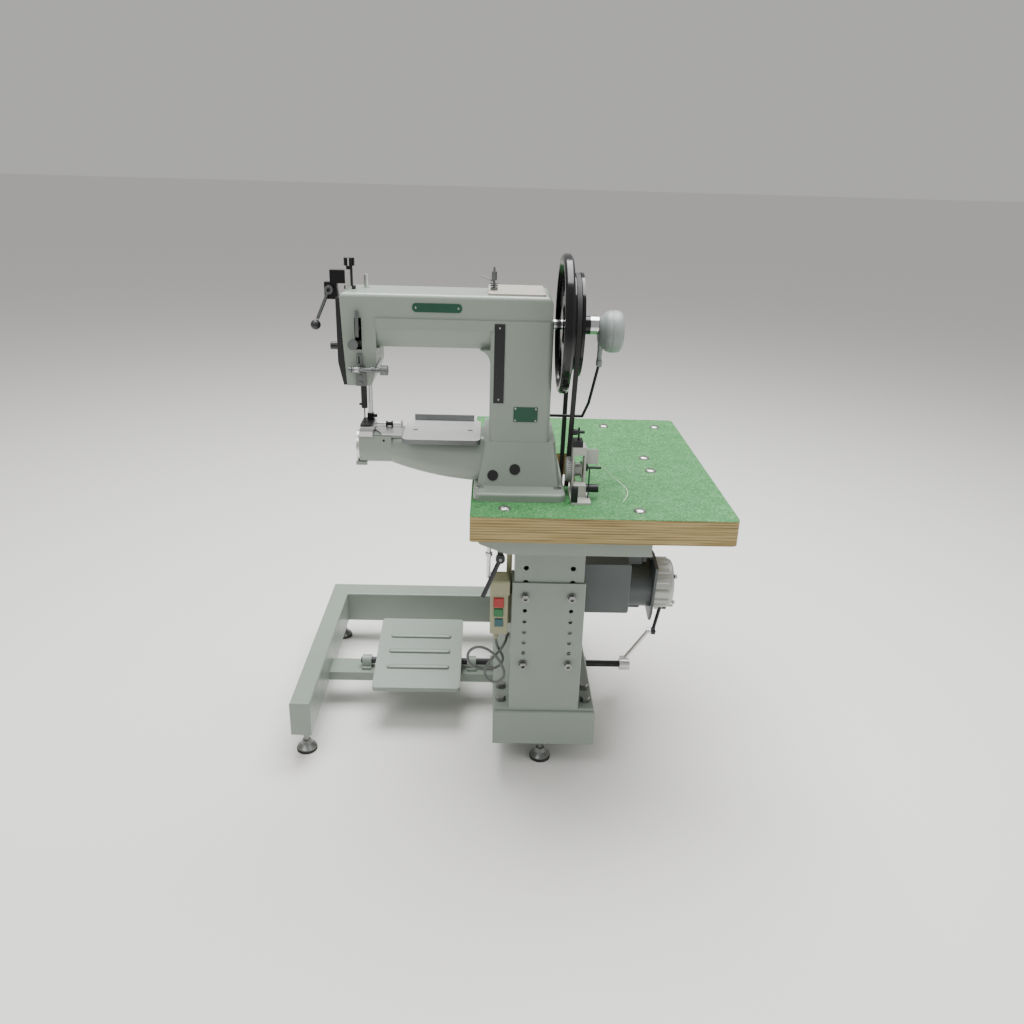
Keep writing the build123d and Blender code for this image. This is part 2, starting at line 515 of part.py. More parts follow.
with BuildPart() as motor_lever:
    leaning_bar((410, LUG_Y + 5, LUG_Z + 5), (410, ROD_HIGH[1] - 4, ROD_HIGH[2] - 4), 4.5)
    bar("X", (405, LUG_Y, LUG_Z), 10, 10)
    bar("X", (405, LUG_Y, LUG_Z), 10, LEVER_PIN_R + RUN, Mode.SUBTRACT)
    bar("X", (405, ROD_HIGH[1], ROD_HIGH[2]), 34, LEVER_PIN_R)
    bar("X", (405, ROD_HIGH[1], ROD_HIGH[2]), 10, 8)
motor_lever.part.label = "motor_lever"
export_step(motor_lever.part, "parts/motor_lever.step")


# =====================================================================================
# Bed: base plate, flared foot and cylinder arm in one casting
# =====================================================================================
def rounded_block(x0, x1, y0, y1, z0, z1, radius, mode=Mode.ADD):
    """A box with rounded upright edges."""
    with BuildSketch(Plane.XY.offset(z0)) as plan:
        with Locations(((x0 + x1) / 2, (y0 + y1) / 2)):
            RectangleRounded(x1 - x0, y1 - y0, radius)
    extrude(plan.sketch, amount=z1 - z0, mode=mode)


PLATE_LOW, COVER_LOW = 752.0, 754.0
CAVITY_X0, CAVITY_X1 = -20.0, 98.0
HINGE_X, HINGE_Z, HINGE_PIN_R = -281.0, 690.0, 1.6

with BuildPart() as bed_casting:
    rounded_block(BASE_LEFT, BASE_RIGHT, BASE_FRONT, BASE_BACK, TABLE_TOP, base_top, 15)
    fillet(bed_casting.faces().sort_by(Axis.Z)[-1].edges(), 5)
    with BuildSketch(Plane.XY.offset(base_top)):
        with Locations((40, -142.5)):
            RectangleRounded(160, 195, 14)
    with BuildSketch(Plane.XY.offset(SHOULDER_Z)):
        with Locations((39, -139)):
            RectangleRounded(139, 166, 12)
    loft()
    # cylinder arm, deepening towards the foot
    with BuildSketch(Plane.YZ.offset(-212)):
        with Locations((AXIS_Y, LOWER_Z)):
            RectangleRounded(66, 66, 30)
    with BuildSketch(Plane.YZ.offset(-180)):
        with Locations((AXIS_Y, (ARM_DECK_Z + 682) / 2)):
            RectangleRounded(76, ARM_DECK_Z - 682, 30)
    with BuildSketch(Plane.YZ.offset(-30)):
        with Locations((AXIS_Y, (ARM_DECK_Z + 665) / 2)):
            RectangleRounded(120, ARM_DECK_Z - 665, 30)
    loft()
    bar("X", (NOSE_LEFT, AXIS_Y, LOWER_Z), -211 - NOSE_LEFT, NOSE_R)
    block(NOSE_LEFT, -211, AXIS_Y - NOSE_R, AXIS_Y + NOSE_R, LOWER_Z, PLATE_LOW)
    block(-246, -188, AXIS_Y - 30, AXIS_Y + 30, PLATE_LOW - 4, COVER_LOW)
    # seats of the needle plate and the cover plate
    block(NOSE_LEFT - 1, -246, -200, -120, PLATE_LOW, 760, Mode.SUBTRACT)
    block(-247, -190, -200, -120, COVER_LOW, 760, Mode.SUBTRACT)
    # ears for the end cap's hinge pin
    for y in (-178, -149):
        block(-284, -262, y, y + 7, 687, 694)
    bar("Y", (HINGE_X, -178, HINGE_Z), 36, HINGE_PIN_R)
    # shuttle mouth, shaft tunnel with two bushes, and the hollow of the foot
    bar("X", (NOSE_LEFT, AXIS_Y, LOWER_Z), 40, 25, Mode.SUBTRACT)
    bar("X", (-218, AXIS_Y, LOWER_Z), 158, 20, Mode.SUBTRACT)
    bar("X", (NOSE_LEFT, AXIS_Y, LOWER_Z), 280, LOWER_R + RUN, Mode.SUBTRACT)
    block(CAVITY_X0, CAVITY_X1, -208, -72, TABLE_TOP, SHOULDER_Z - 12, Mode.SUBTRACT)
    bar("Z", (NEEDLE_X, AXIS_Y, 740), 20, 3, Mode.SUBTRACT)
    bar("Y", (-226, AXIS_Y - NOSE_R, 743), 8, 2.5, Mode.SUBTRACT)
    for x, y in HEAD_BOLTS:
        bar("Z", (x, y, TABLE_TOP), BASE_THICK, 4.5, Mode.SUBTRACT)
bed_casting.part.label = "bed_casting"
export_step(bed_casting.part, "parts/bed_casting.step")

# Shuttle shaft with the round shuttle on its left end.
with BuildPart() as lower_shaft:
    bar("X", (-240, AXIS_Y, LOWER_Z), 240, LOWER_R)
    bar("X", (-262, AXIS_Y, LOWER_Z), 20, 22)
    bar("X", (-262, AXIS_Y, LOWER_Z), 14, 17, Mode.SUBTRACT)
    bar("X", (-262, AXIS_Y, LOWER_Z), 22, 4)
    block(-262, -248, AXIS_Y - 6, AXIS_Y + 6, LOWER_Z + 16, LOWER_Z + 24, Mode.SUBTRACT)
    bar("X", (10, AXIS_Y, LOWER_Z), 6, 15)
    bar("X", (-1, AXIS_Y, LOWER_Z), 12, LOWER_R)
lower_shaft.part.label = "lower_shaft"
export_step(lower_shaft.part, "parts/lower_shaft.step")

with BuildPart() as end_cap:
    bar("X", (HINGE_X, AXIS_Y, LOWER_Z), 5.8, 30)
    bar("X", (HINGE_X, AXIS_Y, LOWER_Z), 1.5, 24, Mode.SUBTRACT)
    block(HINGE_X, HINGE_X + 4, AXIS_Y - 10, AXIS_Y + 10, HINGE_Z, 698)
    bar("Y", (HINGE_X, AXIS_Y - 10, HINGE_Z), 20, 3.5)
    bar("Y", (HINGE_X, AXIS_Y - 10, HINGE_Z), 20, HINGE_PIN_R + RUN, Mode.SUBTRACT)
end_cap.part.label = "end_cap"
export_step(end_cap.part, "parts/end_cap.step")

# =====================================================================================
# Work surface: needle plate, cover plate, tray, edge guide
# =====================================================================================
GUIDE_Y, GUIDE_Z, GUIDE_R = -141.0, 763.0, 2.5
with BuildPart() as needle_plate:
    block(-273, -247, -198, -126, PLATE_LOW, PLATE_Z)
    block(-273, -247, -198, -186, PLATE_Z - 6, PLATE_Z, Mode.SUBTRACT)
    bar("Z", (NEEDLE_X, AXIS_Y, PLATE_LOW), PLATE_Z - PLATE_LOW, 2, Mode.SUBTRACT)
    for x in (-261.5, -252.5):
        block(x, x + 3, -178, -146, PLATE_Z - 3, PLATE_Z, Mode.SUBTRACT)
    bar("X", (-247, GUIDE_Y, GUIDE_Z), 50, GUIDE_R)
    block(-197, -193, GUIDE_Y - 6, GUIDE_Y + 6, ARM_DECK_Z, GUIDE_Z + 6)
needle_plate.part.label = "needle_plate"
export_step(needle_plate.part, "parts/needle_plate.step")

with BuildPart() as arm_cover_plate:
    with BuildSketch(Plane.XY.offset(COVER_LOW)):
        with BuildLine():
            Polyline((-246, -130), (-246, -164), (-236, -176), (-230, -192), (-190, -192),
                     (-190, -130), close=True)
        make_face()
    extrude(amount=ARM_DECK_Z - COVER_LOW)
arm_cover_plate.part.label = "arm_cover_plate"
export_step(arm_cover_plate.part, "parts/arm_cover_plate.step")

with BuildPart() as edge_guide:
    bar("X", (-227, GUIDE_Y, GUIDE_Z), 14, 4)
    bar("X", (-227, GUIDE_Y, GUIDE_Z), 3, 5.8)
    bar("X", (-216, GUIDE_Y, GUIDE_Z), 3, 5.8)
    bar("X", (-227, GUIDE_Y, GUIDE_Z), 14, GUIDE_R + RUN, Mode.SUBTRACT)
edge_guide.part.label = "edge_guide"
export_step(edge_guide.part, "parts/edge_guide.step")

TRAY_X0, TRAY_X1, TRAY_FRONT, TRAY_BACK = -187.0, -37.0, -235.0, -93.0
with BuildPart() as work_table:
    rounded_block(TRAY_X0, TRAY_X1, TRAY_FRONT, TRAY_BACK, 750, 759.5, 14)
    rounded_block(TRAY_X0 + 2.5, TRAY_X1 - 2.5, TRAY_FRONT + 2.5, TRAY_BACK - 2.5, 749, ARM_DECK_Z, 11.5,
                  Mode.SUBTRACT)
    block(TRAY_X0 + 14, TRAY_X1 - 14, TRAY_BACK - 4, TRAY_BACK, 758, 771)
    block(TRAY_X0 - 1, TRAY_X1 + 1, -215, TRAY_BACK + 1, 749, ARM_DECK_Z, Mode.SUBTRACT)
    for x, y in ((-166, -165), (-58, -162)):
        bar("Z", (x, y, 759.5), 1.6, 5)
work_table.part.label = "work_table"
export_step(work_table.part, "parts/work_table.step")

# =====================================================================================
# Arm: pillar, arm and head in one casting, with its covers
# =====================================================================================
HEAD_EDGE = [(HEAD_LEFT, ARM_TOP), (-293.0, 940.0), (-288.0, HEAD_LOW)]
ARM_CASTING_RIGHT = 93.5
BAND_PROUD, CASTING_R = 3.0, 8.0
HEAD_WALL_X, ARM_CAVITY_X = -240.0, -226.0
SHELF_LOW, SHELF_TOP = 925.0, 937.0

with BuildPart() as arm_casting:
    with BuildSketch(Plane.XZ.offset(-ARM_FRONT)) as side:
        with BuildLine():
            Polyline(*HEAD_EDGE, (-242.5, HEAD_LOW), (HEAD_RIGHT, 890), (HEAD_RIGHT, ARM_LOW),
                     (PILLAR_LEFT, ARM_LOW), (PILLAR_LEFT, SHOULDER_Z), (ARM_CASTING_RIGHT, SHOULDER_Z),
                     (ARM_CASTING_RIGHT, ARM_TOP), close=True)
        make_face()
        fillet(side.vertices().sort_by_distance((PILLAR_LEFT, ARM_LOW, 0))[0], 26)
        fillet(side.vertices().sort_by_distance((HEAD_RIGHT, ARM_LOW, 0))[0], 10)
        fillet(side.vertices().sort_by_distance((-242.5, HEAD_LOW, 0))[0], 6)
        fillet(side.vertices().sort_by_distance((HEAD_LEFT, ARM_TOP, 0))[0], 8)
        fillet(side.vertices().sort_by_distance((ARM_CASTING_RIGHT, ARM_TOP, 0))[0], 14)
    extrude(amount=ARM_FRONT - ARM_BACK)
    with BuildSketch(Plane.XZ.offset(-ARM_FRONT)) as pillar_side:
        with Locations(((PILLAR_LEFT + ARM_CASTING_RIGHT) / 2, (SHOULDER_Z + ARM_TOP) / 2)):
            Rectangle(ARM_CASTING_RIGHT - PILLAR_LEFT, ARM_TOP - SHOULDER_Z)
        fillet(pillar_side.vertices().sort_by_distance((ARM_CASTING_RIGHT, ARM_TOP, 0))[0], 14)
    extrude(amount=ARM_FRONT - PILLAR_BACK - 2)
    rounded_block(PILLAR_LEFT, PILLAR_RIGHT, ARM_FRONT - BAND_PROUD, PILLAR_BACK, SHOULDER_Z, LEDGE_Z, 10)
    block(HEAD_RIGHT, 0, ARM_FRONT - BAND_PROUD, ARM_BACK + BAND_PROUD, 966, LEDGE_Z)
    # the long upper corners are rounded
    long_corners = ((HEAD_LEFT, PILLAR_RIGHT, ARM_FRONT, 1),
                    (HEAD_LEFT, PILLAR_LEFT, ARM_BACK, -1),
                    (PILLAR_LEFT, PILLAR_RIGHT, PILLAR_BACK - 2, -1))
    for x0, x1, corner_y, inward in long_corners:
        turn_y, turn_z = corner_y + inward * CASTING_R, ARM_TOP - CASTING_R
        middle = CASTING_R * sin(radians(45))
        with BuildSketch(Plane.YZ.offset(x0)) as outside_corner:
            with BuildLine():
                Polyline((corner_y, turn_z), (corner_y - inward, turn_z), (corner_y - inward, ARM_TOP + 1),
                         (turn_y, ARM_TOP + 1), (turn_y, ARM_TOP))
                ThreePointArc((turn_y, ARM_TOP), (turn_y - inward * middle, turn_z + middle),
                              (corner_y, turn_z))
            make_face()
        extrude(outside_corner.sketch, amount=x1 - x0, mode=Mode.SUBTRACT)
    # the arm narrows towards its underside
    for near, far in ((ARM_FRONT, ARM_FRONT + 15), (ARM_BACK, ARM_BACK - 15)):
        outside = near + (near - far) / 10
        with BuildSketch(Plane.YZ.offset(HEAD_RIGHT)):
            with BuildLine():
                Polyline((near, 966), (far, ARM_LOW), (far, ARM_LOW - 1), (outside, ARM_LOW - 1),
                         (outside, 966), close=True)
            make_face()
        extrude(amount=PILLAR_LEFT - HEAD_RIGHT, mode=Mode.SUBTRACT)
    # hollows
    block(ARM_CAVITY_X, 84, AXIS_Y - 38, AXIS_Y + 38, 938, 1018, Mode.SUBTRACT)
    block(-284, HEAD_WALL_X, -210, -110, 868, 1018, Mode.SUBTRACT)
    block(-10, 84, -208, -78, SHOULDER_Z, 1018, Mode.SUBTRACT)
    block(-13, 73, -198, -82, 1018, ARM_TOP, Mode.SUBTRACT)
    block(-298, -284, -205, -113, 880, 1010, Mode.SUBTRACT)
    block(-271, -258, ARM_FRONT, -210, 925, 984, Mode.SUBTRACT)
    # guide shelf in the head
    block(-286, HEAD_WALL_X, -190, -110, SHELF_LOW, SHELF_TOP)
    bar("X", (HEAD_WALL_X, AXIS_Y, SHAFT_Z), ARM_CAVITY_X - HEAD_WALL_X, SHAFT_R + RUN, Mode.SUBTRACT)
    bar("X", (84, AXIS_Y, SHAFT_Z), 14, SHAFT_R + RUN, Mode.SUBTRACT)
    for low, high in ((HEAD_LOW, 868), (SHELF_LOW, SHELF_TOP)):
        bar("Z", (NEEDLE_X, AXIS_Y, low), high - low, NEEDLE_BAR_R + RUN, Mode.SUBTRACT)
        bar("Z", (PRESSER_X, PRESSER_Y, low), high - low, PRESSER_BAR_R + RUN, Mode.SUBTRACT)
    bar("Z", (PRESSER_X, PRESSER_Y, 1018), 10, PRESSER_BAR_R + RUN, Mode.SUBTRACT)
arm_casting.part.label = "arm_casting"
export_step(arm_casting.part, "parts/arm_casting.step")

FACE_OUT, FACE_TOP = 8.0, 1018.0
edge_lean = (HEAD_EDGE[1][0] - HEAD_LEFT) / (ARM_TOP - HEAD_EDGE[1][1])
top_edge_x = HEAD_LEFT + edge_lean * (ARM_TOP - FACE_TOP)
with BuildPart() as face_plate:
    with BuildSketch(Plane.XZ.offset(214)):
        with BuildLine():
            Polyline((top_edge_x, FACE_TOP), HEAD_EDGE[1], HEAD_EDGE[2], (-295, HEAD_LOW),
                     (HEAD_LEFT - FACE_OUT, 902), (HEAD_LEFT - FACE_OUT, FACE_TOP), close=True)
        make_face()
    extrude(amount=-108)
    fillet(face_plate.edges().group_by(Axis.X)[0].filter_by(Axis.Z), 2)
    bar("X", (-326, AXIS_Y, 921), 326 + HEAD_LEFT - FACE_OUT, 3)
    bar("X", (-326, AXIS_Y, 921), 14, 7.5)
face_plate.part.label = "face_plate"
export_step(face_plate.part, "parts/face_plate.step")

with BuildPart() as arm_top_cover:
    rounded_block(-27, 80, -205, -75, ARM_TOP, ARM_TOP + 4, 6)
    fillet(arm_top_cover.edges().group_by(Axis.Z)[-1], 1.5)
arm_top_cover.part.label = "arm_top_cover"
export_step(arm_top_cover.part, "parts/arm_top_cover.step")

front_skin = ARM_FRONT - BAND_PROUD
with BuildPart() as black_trim:
    block(-13.5, 6, front_skin - 1.5, front_skin, 831, 979)
    # rubber plugs in the sloping front of the foot
    flare_normal = Vector(0, -(SHOULDER_Z - base_top), 18).normalized()
    for x, z in ((-11.5, 691), (31, 703)):
        y = -240 + (z - base_top) * 18 / (SHOULDER_Z - base_top)
        with BuildSketch(Plane(origin=(x, y, z), z_dir=flare_normal)):
            Circle(10.5)
        extrude(amount=1.2)
black_trim.part.label = "black_trim"
export_step(black_trim.part, "parts/black_trim.step")

# Blank green badge on the arm and blank green data plate on the pillar.
with BuildPart() as green_plates:
    with BuildSketch(Plane.XZ.offset(-ARM_FRONT)):
        with Locations((-119, 1005)):
            RectangleRounded(91, 16, 7)
    extrude(amount=1.2)
    with BuildSketch(Plane.XZ.offset(-front_skin)):
        with Locations((48.5, 809.5)):
            RectangleRounded(46, 29, 2)
    extrude(amount=1)
green_plates.part.label = "green_plates"
export_step(green_plates.part, "parts/green_plates.step")

# =====================================================================================
# Bars, take-up, thread tension
# =====================================================================================
with BuildPart() as needle_bar:
    bar("Z", (NEEDLE_X, AXIS_Y, 800), 185, NEEDLE_BAR_R)
    bar("X", (NEEDLE_X - 10, AXIS_Y, 807), 8, 2.2)
    bar("Z", (NEEDLE_X, AXIS_Y, 776), 26, 1.2)
    taper("Z", (NEEDLE_X, AXIS_Y, 772), 4, 0.3, 1.2)
needle_bar.part.label = "needle_bar"
export_step(needle_bar.part, "parts/needle_bar.step")

with BuildPart() as presser_bar:
    bar("Z", (PRESSER_X, PRESSER_Y, 783), 269, PRESSER_BAR_R)
presser_bar.part.label = "presser_bar"
export_step(presser_bar.part, "parts/presser_bar.step")

with BuildPart() as presser_foot:
    block(-273, -250, -184, -126, PLATE_Z, PLATE_Z + 3)
    fillet(presser_foot.edges().filter_by(Axis.Z), 4)
    block(-264, -252, -140, -128, PLATE_Z + 2, 783)
    bar("X", (-252, PRESSER_Y, 777), 7, 3.5)
    bar("Z", (NEEDLE_X, AXIS_Y, PLATE_Z), 3, 3.5, Mode.SUBTRACT)
presser_foot.part.label = "presser_foot"
export_step(presser_foot.part, "parts/presser_foot.step")

with BuildPart() as take_up_lever:
    block(-268, -262, -228, -221.5, 950, 998)
    block(-268, -262, -222, -196, 960, 970)
    bar("X", (-268, -224.5, 990), 6, 1.6, Mode.SUBTRACT)
take_up_lever.part.label = "take_up_lever"
export_step(take_up_lever.part, "parts/take_up_lever.step")

TENSION_Y, TENSION_Z, TENSION_R = -232.0, 891.0, 2.5
with BuildPart() as tension_set:
    bar("X", (-283, TENSION_Y, TENSION_Z), 73, TENSION_R)
    for x, long, radius in ((-281, 4, 6), (-275, 3, 7), (-254, 14, 4.5), (-240, 3, 7), (-236, 3, 7), (-232, 6, 5)):
        bar("X", (x, TENSION_Y, TENSION_Z), long, radius)
    block(-262, -254, TENSION_Y, ARM_FRONT, TENSION_Z - 5, TENSION_Z + 5)
    leaning_bar((-234, TENSION_Y, TENSION_Z + 3), (-222, TENSION_Y, 915), 1.2)
tension_set.part.label = "tension_set"
export_step(tension_set.part, "parts/tension_set.step")

with BuildPart() as tension_knob:
    bar("X", (-224, TENSION_Y, TENSION_Z), 15, 9)
    fillet(tension_knob.edges().group_by(Axis.X)[-1], 2)
    bar("X", (-224, TENSION_Y, TENSION_Z), 15, TENSION_R + RUN, Mode.SUBTRACT)
tension_knob.part.label = "tension_knob"
export_step(tension_knob.part, "parts/tension_knob.step")

cover_top = ARM_TOP + 4
with BuildPart() as thread_guides:
    # disc on a stud, wire guide and clamp plate on the head's front
    bar("Y", (-277, -234, 938), 16, 2.5)
    bar("Y", (-272, -240, 938), 6, 9.5)
    block(-268, -258, -224, ARM_FRONT, 898, 918)
    block(-265, -261, -224, ARM_FRONT, 901, 915, Mode.SUBTRACT)
    block(-271, -252, -222, ARM_FRONT, HEAD_LOW, 883)
    for z in (863, 876):
        bar("Y", (-262, -224, z), 2, 4)
    # knurled guide post on the arm's top
    bar("Z", (-16, AXIS_Y, cover_top), 42, 2)
    for z, long, radius in ((0, 5, 7), (7, 2, 7.5), (11, 2, 7.5), (18, 16, 5)):
        bar("Z", (-16, AXIS_Y, cover_top + z), long, radius)
    leaning_bar((-16, AXIS_Y, cover_top + 15), (-42, AXIS_Y, cover_top + 26), 1)
thread_guides.part.label = "thread_guides"
export_step(thread_guides.part, "parts/thread_guides.step")

# Presser regulator on the head's top, with the bracket of the hand lifter.
LIFTER_X, LIFTER_Z, LIFTER_PIN_R = -322.0, 1027.0, 3.0
with BuildPart() as presser_regulator:
    bar("Z", (-285, AXIS_Y, ARM_TOP), 6, 11)
    bar("Z", (-285, AXIS_Y, ARM_TOP), 44, 6)
    bar("Z", (-285, AXIS_Y, 1070), 14, 10)
    block(-291, -282, -176, -170, ARM_TOP, 1064)
    block(-321, -290, -168, -152, 1038, 1062)
    block(-332, -308, -168, -152, 1009, 1040)
    bar("Y", (LIFTER_X, -184, LIFTER_Z), 20, LIFTER_PIN_R)
presser_regulator.part.label = "presser_regulator"
export_step(presser_regulator.part, "parts/presser_regulator.step")

with BuildPart() as hand_lifter:
    leaning_bar((LIFTER_X, -174, LIFTER_Z), (-346, -174, 973), 3.2)
    bar("Y", (LIFTER_X, -180, LIFTER_Z), 11.5, 8)
    bar("Y", (LIFTER_X, -180, LIFTER_Z), 11.5, LIFTER_PIN_R + RUN, Mode.SUBTRACT)
    with Locations((-350, -174, 962)):
        Sphere(9.5)
hand_lifter.part.label = "hand_lifter"
export_step(hand_lifter.part, "parts/hand_lifter.step")

# =====================================================================================
# Wheel train on the main shaft
# =====================================================================================
COLLAR_X0, COLLAR_X1 = 168.0, 183.5
SHAFT_END = 203.0
with BuildPart() as main_shaft:
    bar("X", (-256, AXIS_Y, SHAFT_Z), SHAFT_END + 256, SHAFT_R)
    bar("X", (-256, AXIS_Y, SHAFT_Z), 12, 18)
    bar("X", (COLLAR_X0, AXIS_Y, SHAFT_Z), COLLAR_X1 - COLLAR_X0, 18)
    bar("Z", (176, AXIS_Y, SHAFT_Z + 12), 7, 3, Mode.SUBTRACT)
main_shaft.part.label = "main_shaft"
export_step(main_shaft.part, "parts/main_shaft.step")

with BuildPart() as hand_wheel:
    turned([(114, SHAFT_R), (114, 30), (117, 40), (117, 116), (WHEEL_X0, 118), (WHEEL_X0, WHEEL_R - 4),
            (WHEEL_X0 + 4, WHEEL_R), (WHEEL_X1 - 4, WHEEL_R), (WHEEL_X1, WHEEL_R - 4), (WHEEL_X1, 118),
            (122, 116), (122, 40), (WHEEL_X1, 34), (WHEEL_X1, SHAFT_R)], AXIS_Y, SHAFT_Z)
    with BuildSketch(Plane.YZ.offset(110)):
        with Locations((AXIS_Y, SHAFT_Z)):
            with PolarLocations(78, 5):
                Circle(25)
    extrude(amount=20, mode=Mode.SUBTRACT)
hand_wheel.part.label = "hand_wheel"
export_step(hand_wheel.part, "parts/hand_wheel.step")

with BuildPart() as drive_pulley:
    turned(pulley_profile(WHEEL_X1, 150, HEAD_PULLEY_R, SHAFT_R), AXIS_Y, SHAFT_Z)
    bar("X", (150, AXIS_Y, SHAFT_Z), 18, 17.5)
    bar("X", (150, AXIS_Y, SHAFT_Z), 18, SHAFT_R, Mode.SUBTRACT)
drive_pulley.part.label = "drive_pulley"
export_step(drive_pulley.part, "parts/drive_pulley.step")

# Needle-position unit on the shaft's end, held still by a bent rod.
SYNC_X0, SYNC_X1, SYNC_Z = 184.0, 231.0, 960.0
with BuildPart() as synchroniser_body:
    bar("X", (197, AXIS_Y, SYNC_Z), SYNC_X1 - 197, 40)
    fillet(synchroniser_body.edges().group_by(Axis.X)[-1], 5)
    bar("X", (SYNC_X0, AXIS_Y, SYNC_Z), 13, 31)
    block(SYNC_X0, 196, AXIS_Y - 10, AXIS_Y + 10, 893, SYNC_Z)
    bar("X", (SYNC_X0, AXIS_Y, SHAFT_Z), SHAFT_END + 1 - SYNC_X0, SHAFT_R + RUN, Mode.SUBTRACT)
synchroniser_body.part.label = "synchroniser_body"
export_step(synchroniser_body.part, "parts/synchroniser_body.step")

ROD_ROUTE = [(189, AXIS_Y, 893), (178, -130, 812), (170, -100, 776), (PILLAR_RIGHT, -100, 776)]
with BuildPart() as synchroniser_rod:
    for start, end in zip(ROD_ROUTE, ROD_ROUTE[1:]):
        leaning_bar(start, end, 3)
    for corner in ROD_ROUTE[1:-1]:
        with Locations(corner):
            Sphere(3)
synchroniser_rod.part.label = "synchroniser_rod"
export_step(synchroniser_rod.part, "parts/synchroniser_rod.step")

# =====================================================================================
# Bobbin winder on the table, just clear of the belt
# =====================================================================================
WINDER_Y, WINDER_Z, SPINDLE_PIN_R = -215.0, 700.0, 3.0
with BuildPart() as winder_frame:
    rounded_block(138, 176, -293, -205, TABLE_TOP, TABLE_TOP + 4, 4)
    block(142, 145.5, -240, -205, TABLE_TOP + 4, 752)
    block(164.5, 168, -240, -205, TABLE_TOP + 4, 752)
    block(142, 168, -240, -205, 736, 752)
    block(145, 168, -262, -236, TABLE_TOP + 4, 682)
    block(168, 192, -232, -230, 717, 747)
    bar("X", (141, WINDER_Y, WINDER_Z), 30, SPINDLE_PIN_R + RUN, Mode.SUBTRACT)
winder_frame.part.label = "winder_frame"
export_step(winder_frame.part, "parts/winder_frame.step")

with BuildPart() as winder_trim:
    block(140, 160, -240, -212, 752, 764)
    bar("Z", (152, -226, 764), 24, 2)
    bar("X", (141, -226, 779), 22, 3)
    bar("X", (141, -226, 779), 8, 6)
    bar("X", (168, -236, 711), 30, 2.5)
    block(168, 172, -240, -230, 705, 717)
    bar("X", (168, -256, 676), 24, 8)
    block(137.8, 150, -292, -280, TABLE_TOP + 4, 688)
    bar("Z", (172, -266, TABLE_TOP + 4), 62, 1.3)
winder_trim.part.label = "winder_trim"
export_step(winder_trim.part, "parts/winder_trim.step")

with BuildPart() as winder_wheel:
    bar("X", (131, WINDER_Y, WINDER_Z), 41, SPINDLE_PIN_R)
    bar("X", (131, WINDER_Y, WINDER_Z), 10, 24)
    fillet(winder_wheel.edges().group_by(Axis.X)[0], 1)
    bar("X", (147, WINDER_Y, WINDER_Z), 2, 17)
    bar("X", (149, WINDER_Y, WINDER_Z), 11, 13)
    bar("X", (160, WINDER_Y, WINDER_Z), 2, 17)
winder_wheel.part.label = "winder_wheel"
export_step(winder_wheel.part, "parts/winder_wheel.step")

# Lifting lever that hangs from the bearer under the table's left front corner.
HANGER_X, HANGER_Y, HANGER_Z = 6.0, -330.0, 557.0
with BuildPart() as lifter_lever:
    leaning_bar((HANGER_X - 2, HANGER_Y, HANGER_Z - 5), (-26, HANGER_Y, 476), 4.5)
    bar("Y", (HANGER_X, HANGER_Y - 5, HANGER_Z), 10, 9)
    bar("Y", (HANGER_X, HANGER_Y - 5, HANGER_Z), 10, 3 + RUN, Mode.SUBTRACT)
lifter_lever.part.label = "lifter_lever"
export_step(lifter_lever.part, "parts/lifter_lever.step")

# =====================================================================================
# Mains lead: hangs in two loops at the column's left, then lies coiled behind the column
# =====================================================================================
LEAD_ROUTE = [(2, -212, 316), (4, -210, 300), (12, -206, 282), (20, -204, 264), (15, -204, 245),
              (-5, -204, 234), (-30, -204, 233), (-51, -205, 245), (-59, -208, 267),
              (-52, -212, 288), (-32, -217, 299), (-10, -221, 292), (7, -223, 274),
              (18, -223, 254), (23, -223, 235), (17, -223, 219), (1, -222, 212), (-15, -220, 219),
              (-21, -217, 235), (-16, -214, 252), (-1, -213, 272), (15, -214, 291), (25, -204, 308),
              (27, -184, 313), (29, -163, 303), (35, -147, 283), (43, -136, 258), (50, -129, 231),
              (55, -123, 203), (58, -114, 177), (59, -98, 158), (59, -78, 153.1), (59, -58, 153.1)]
COIL_X, COIL_Y, COIL_MEAN_R = 98.0, -60.0, 33.0
COIL_HALF_WIDTH, COIL_HIGH = 9.0, 12.2
PLUG_X, PLUG_Y, PLUG_Z = 130.0, -21.0, 161.0
TAIL_ROUTE = [(98, -21, 159.1), (114, -21, 159.6), (PLUG_X, PLUG_Y, PLUG_Z)]


def tube(points, radius):
    """A cord's tube: straight runs joined by arcs as large as the two runs allow."""
    spots = [Vector(*point) for point in points]
    radii = []
    for before, corner, after in zip(spots, spots[1:], spots[2:]):
        half_turn = radians((corner - before).get_angle(after - corner) / 2)
        shorter_run = min((corner - before).length, (after - corner).length)
        radii.append(0.45 * shorter_run / tan(half_turn))
    with BuildLine() as path:
        FilletPolyline(*spots, radius=radii)
    with BuildSketch(Plane(origin=spots[0], z_dir=spots[1] - spots[0])) as section:
        Circle(radius)
    solid = sweep(section.sketch, path=path.line)
    length = sum(edge.length for edge in path.line.edges())
    print("tube length", round(length, 1), "volume ratio",
          round(solid.volume / (section.sketch.area * length), 4))
    print("bend radii", [round(bend, 1) for bend in radii])


with BuildPart() as mains_lead:
    tube(LEAD_ROUTE, CORD_R)
    tube(TAIL_ROUTE, CORD_R)
mains_lead.part.label = "mains_lead"
export_step(mains_lead.part, "parts/mains_lead.step")

with BuildPart() as mains_coil:
    bar("Z", (COIL_X, COIL_Y, FRAME_TOP), COIL_HIGH, COIL_MEAN_R + COIL_HALF_WIDTH)
    bar("Z", (COIL_X, COIL_Y, FRAME_TOP), COIL_HIGH, COIL_MEAN_R - COIL_HALF_WIDTH, Mode.SUBTRACT)
mains_coil.part.label = "mains_coil"
export_step(mains_coil.part, "parts/mains_coil.step")

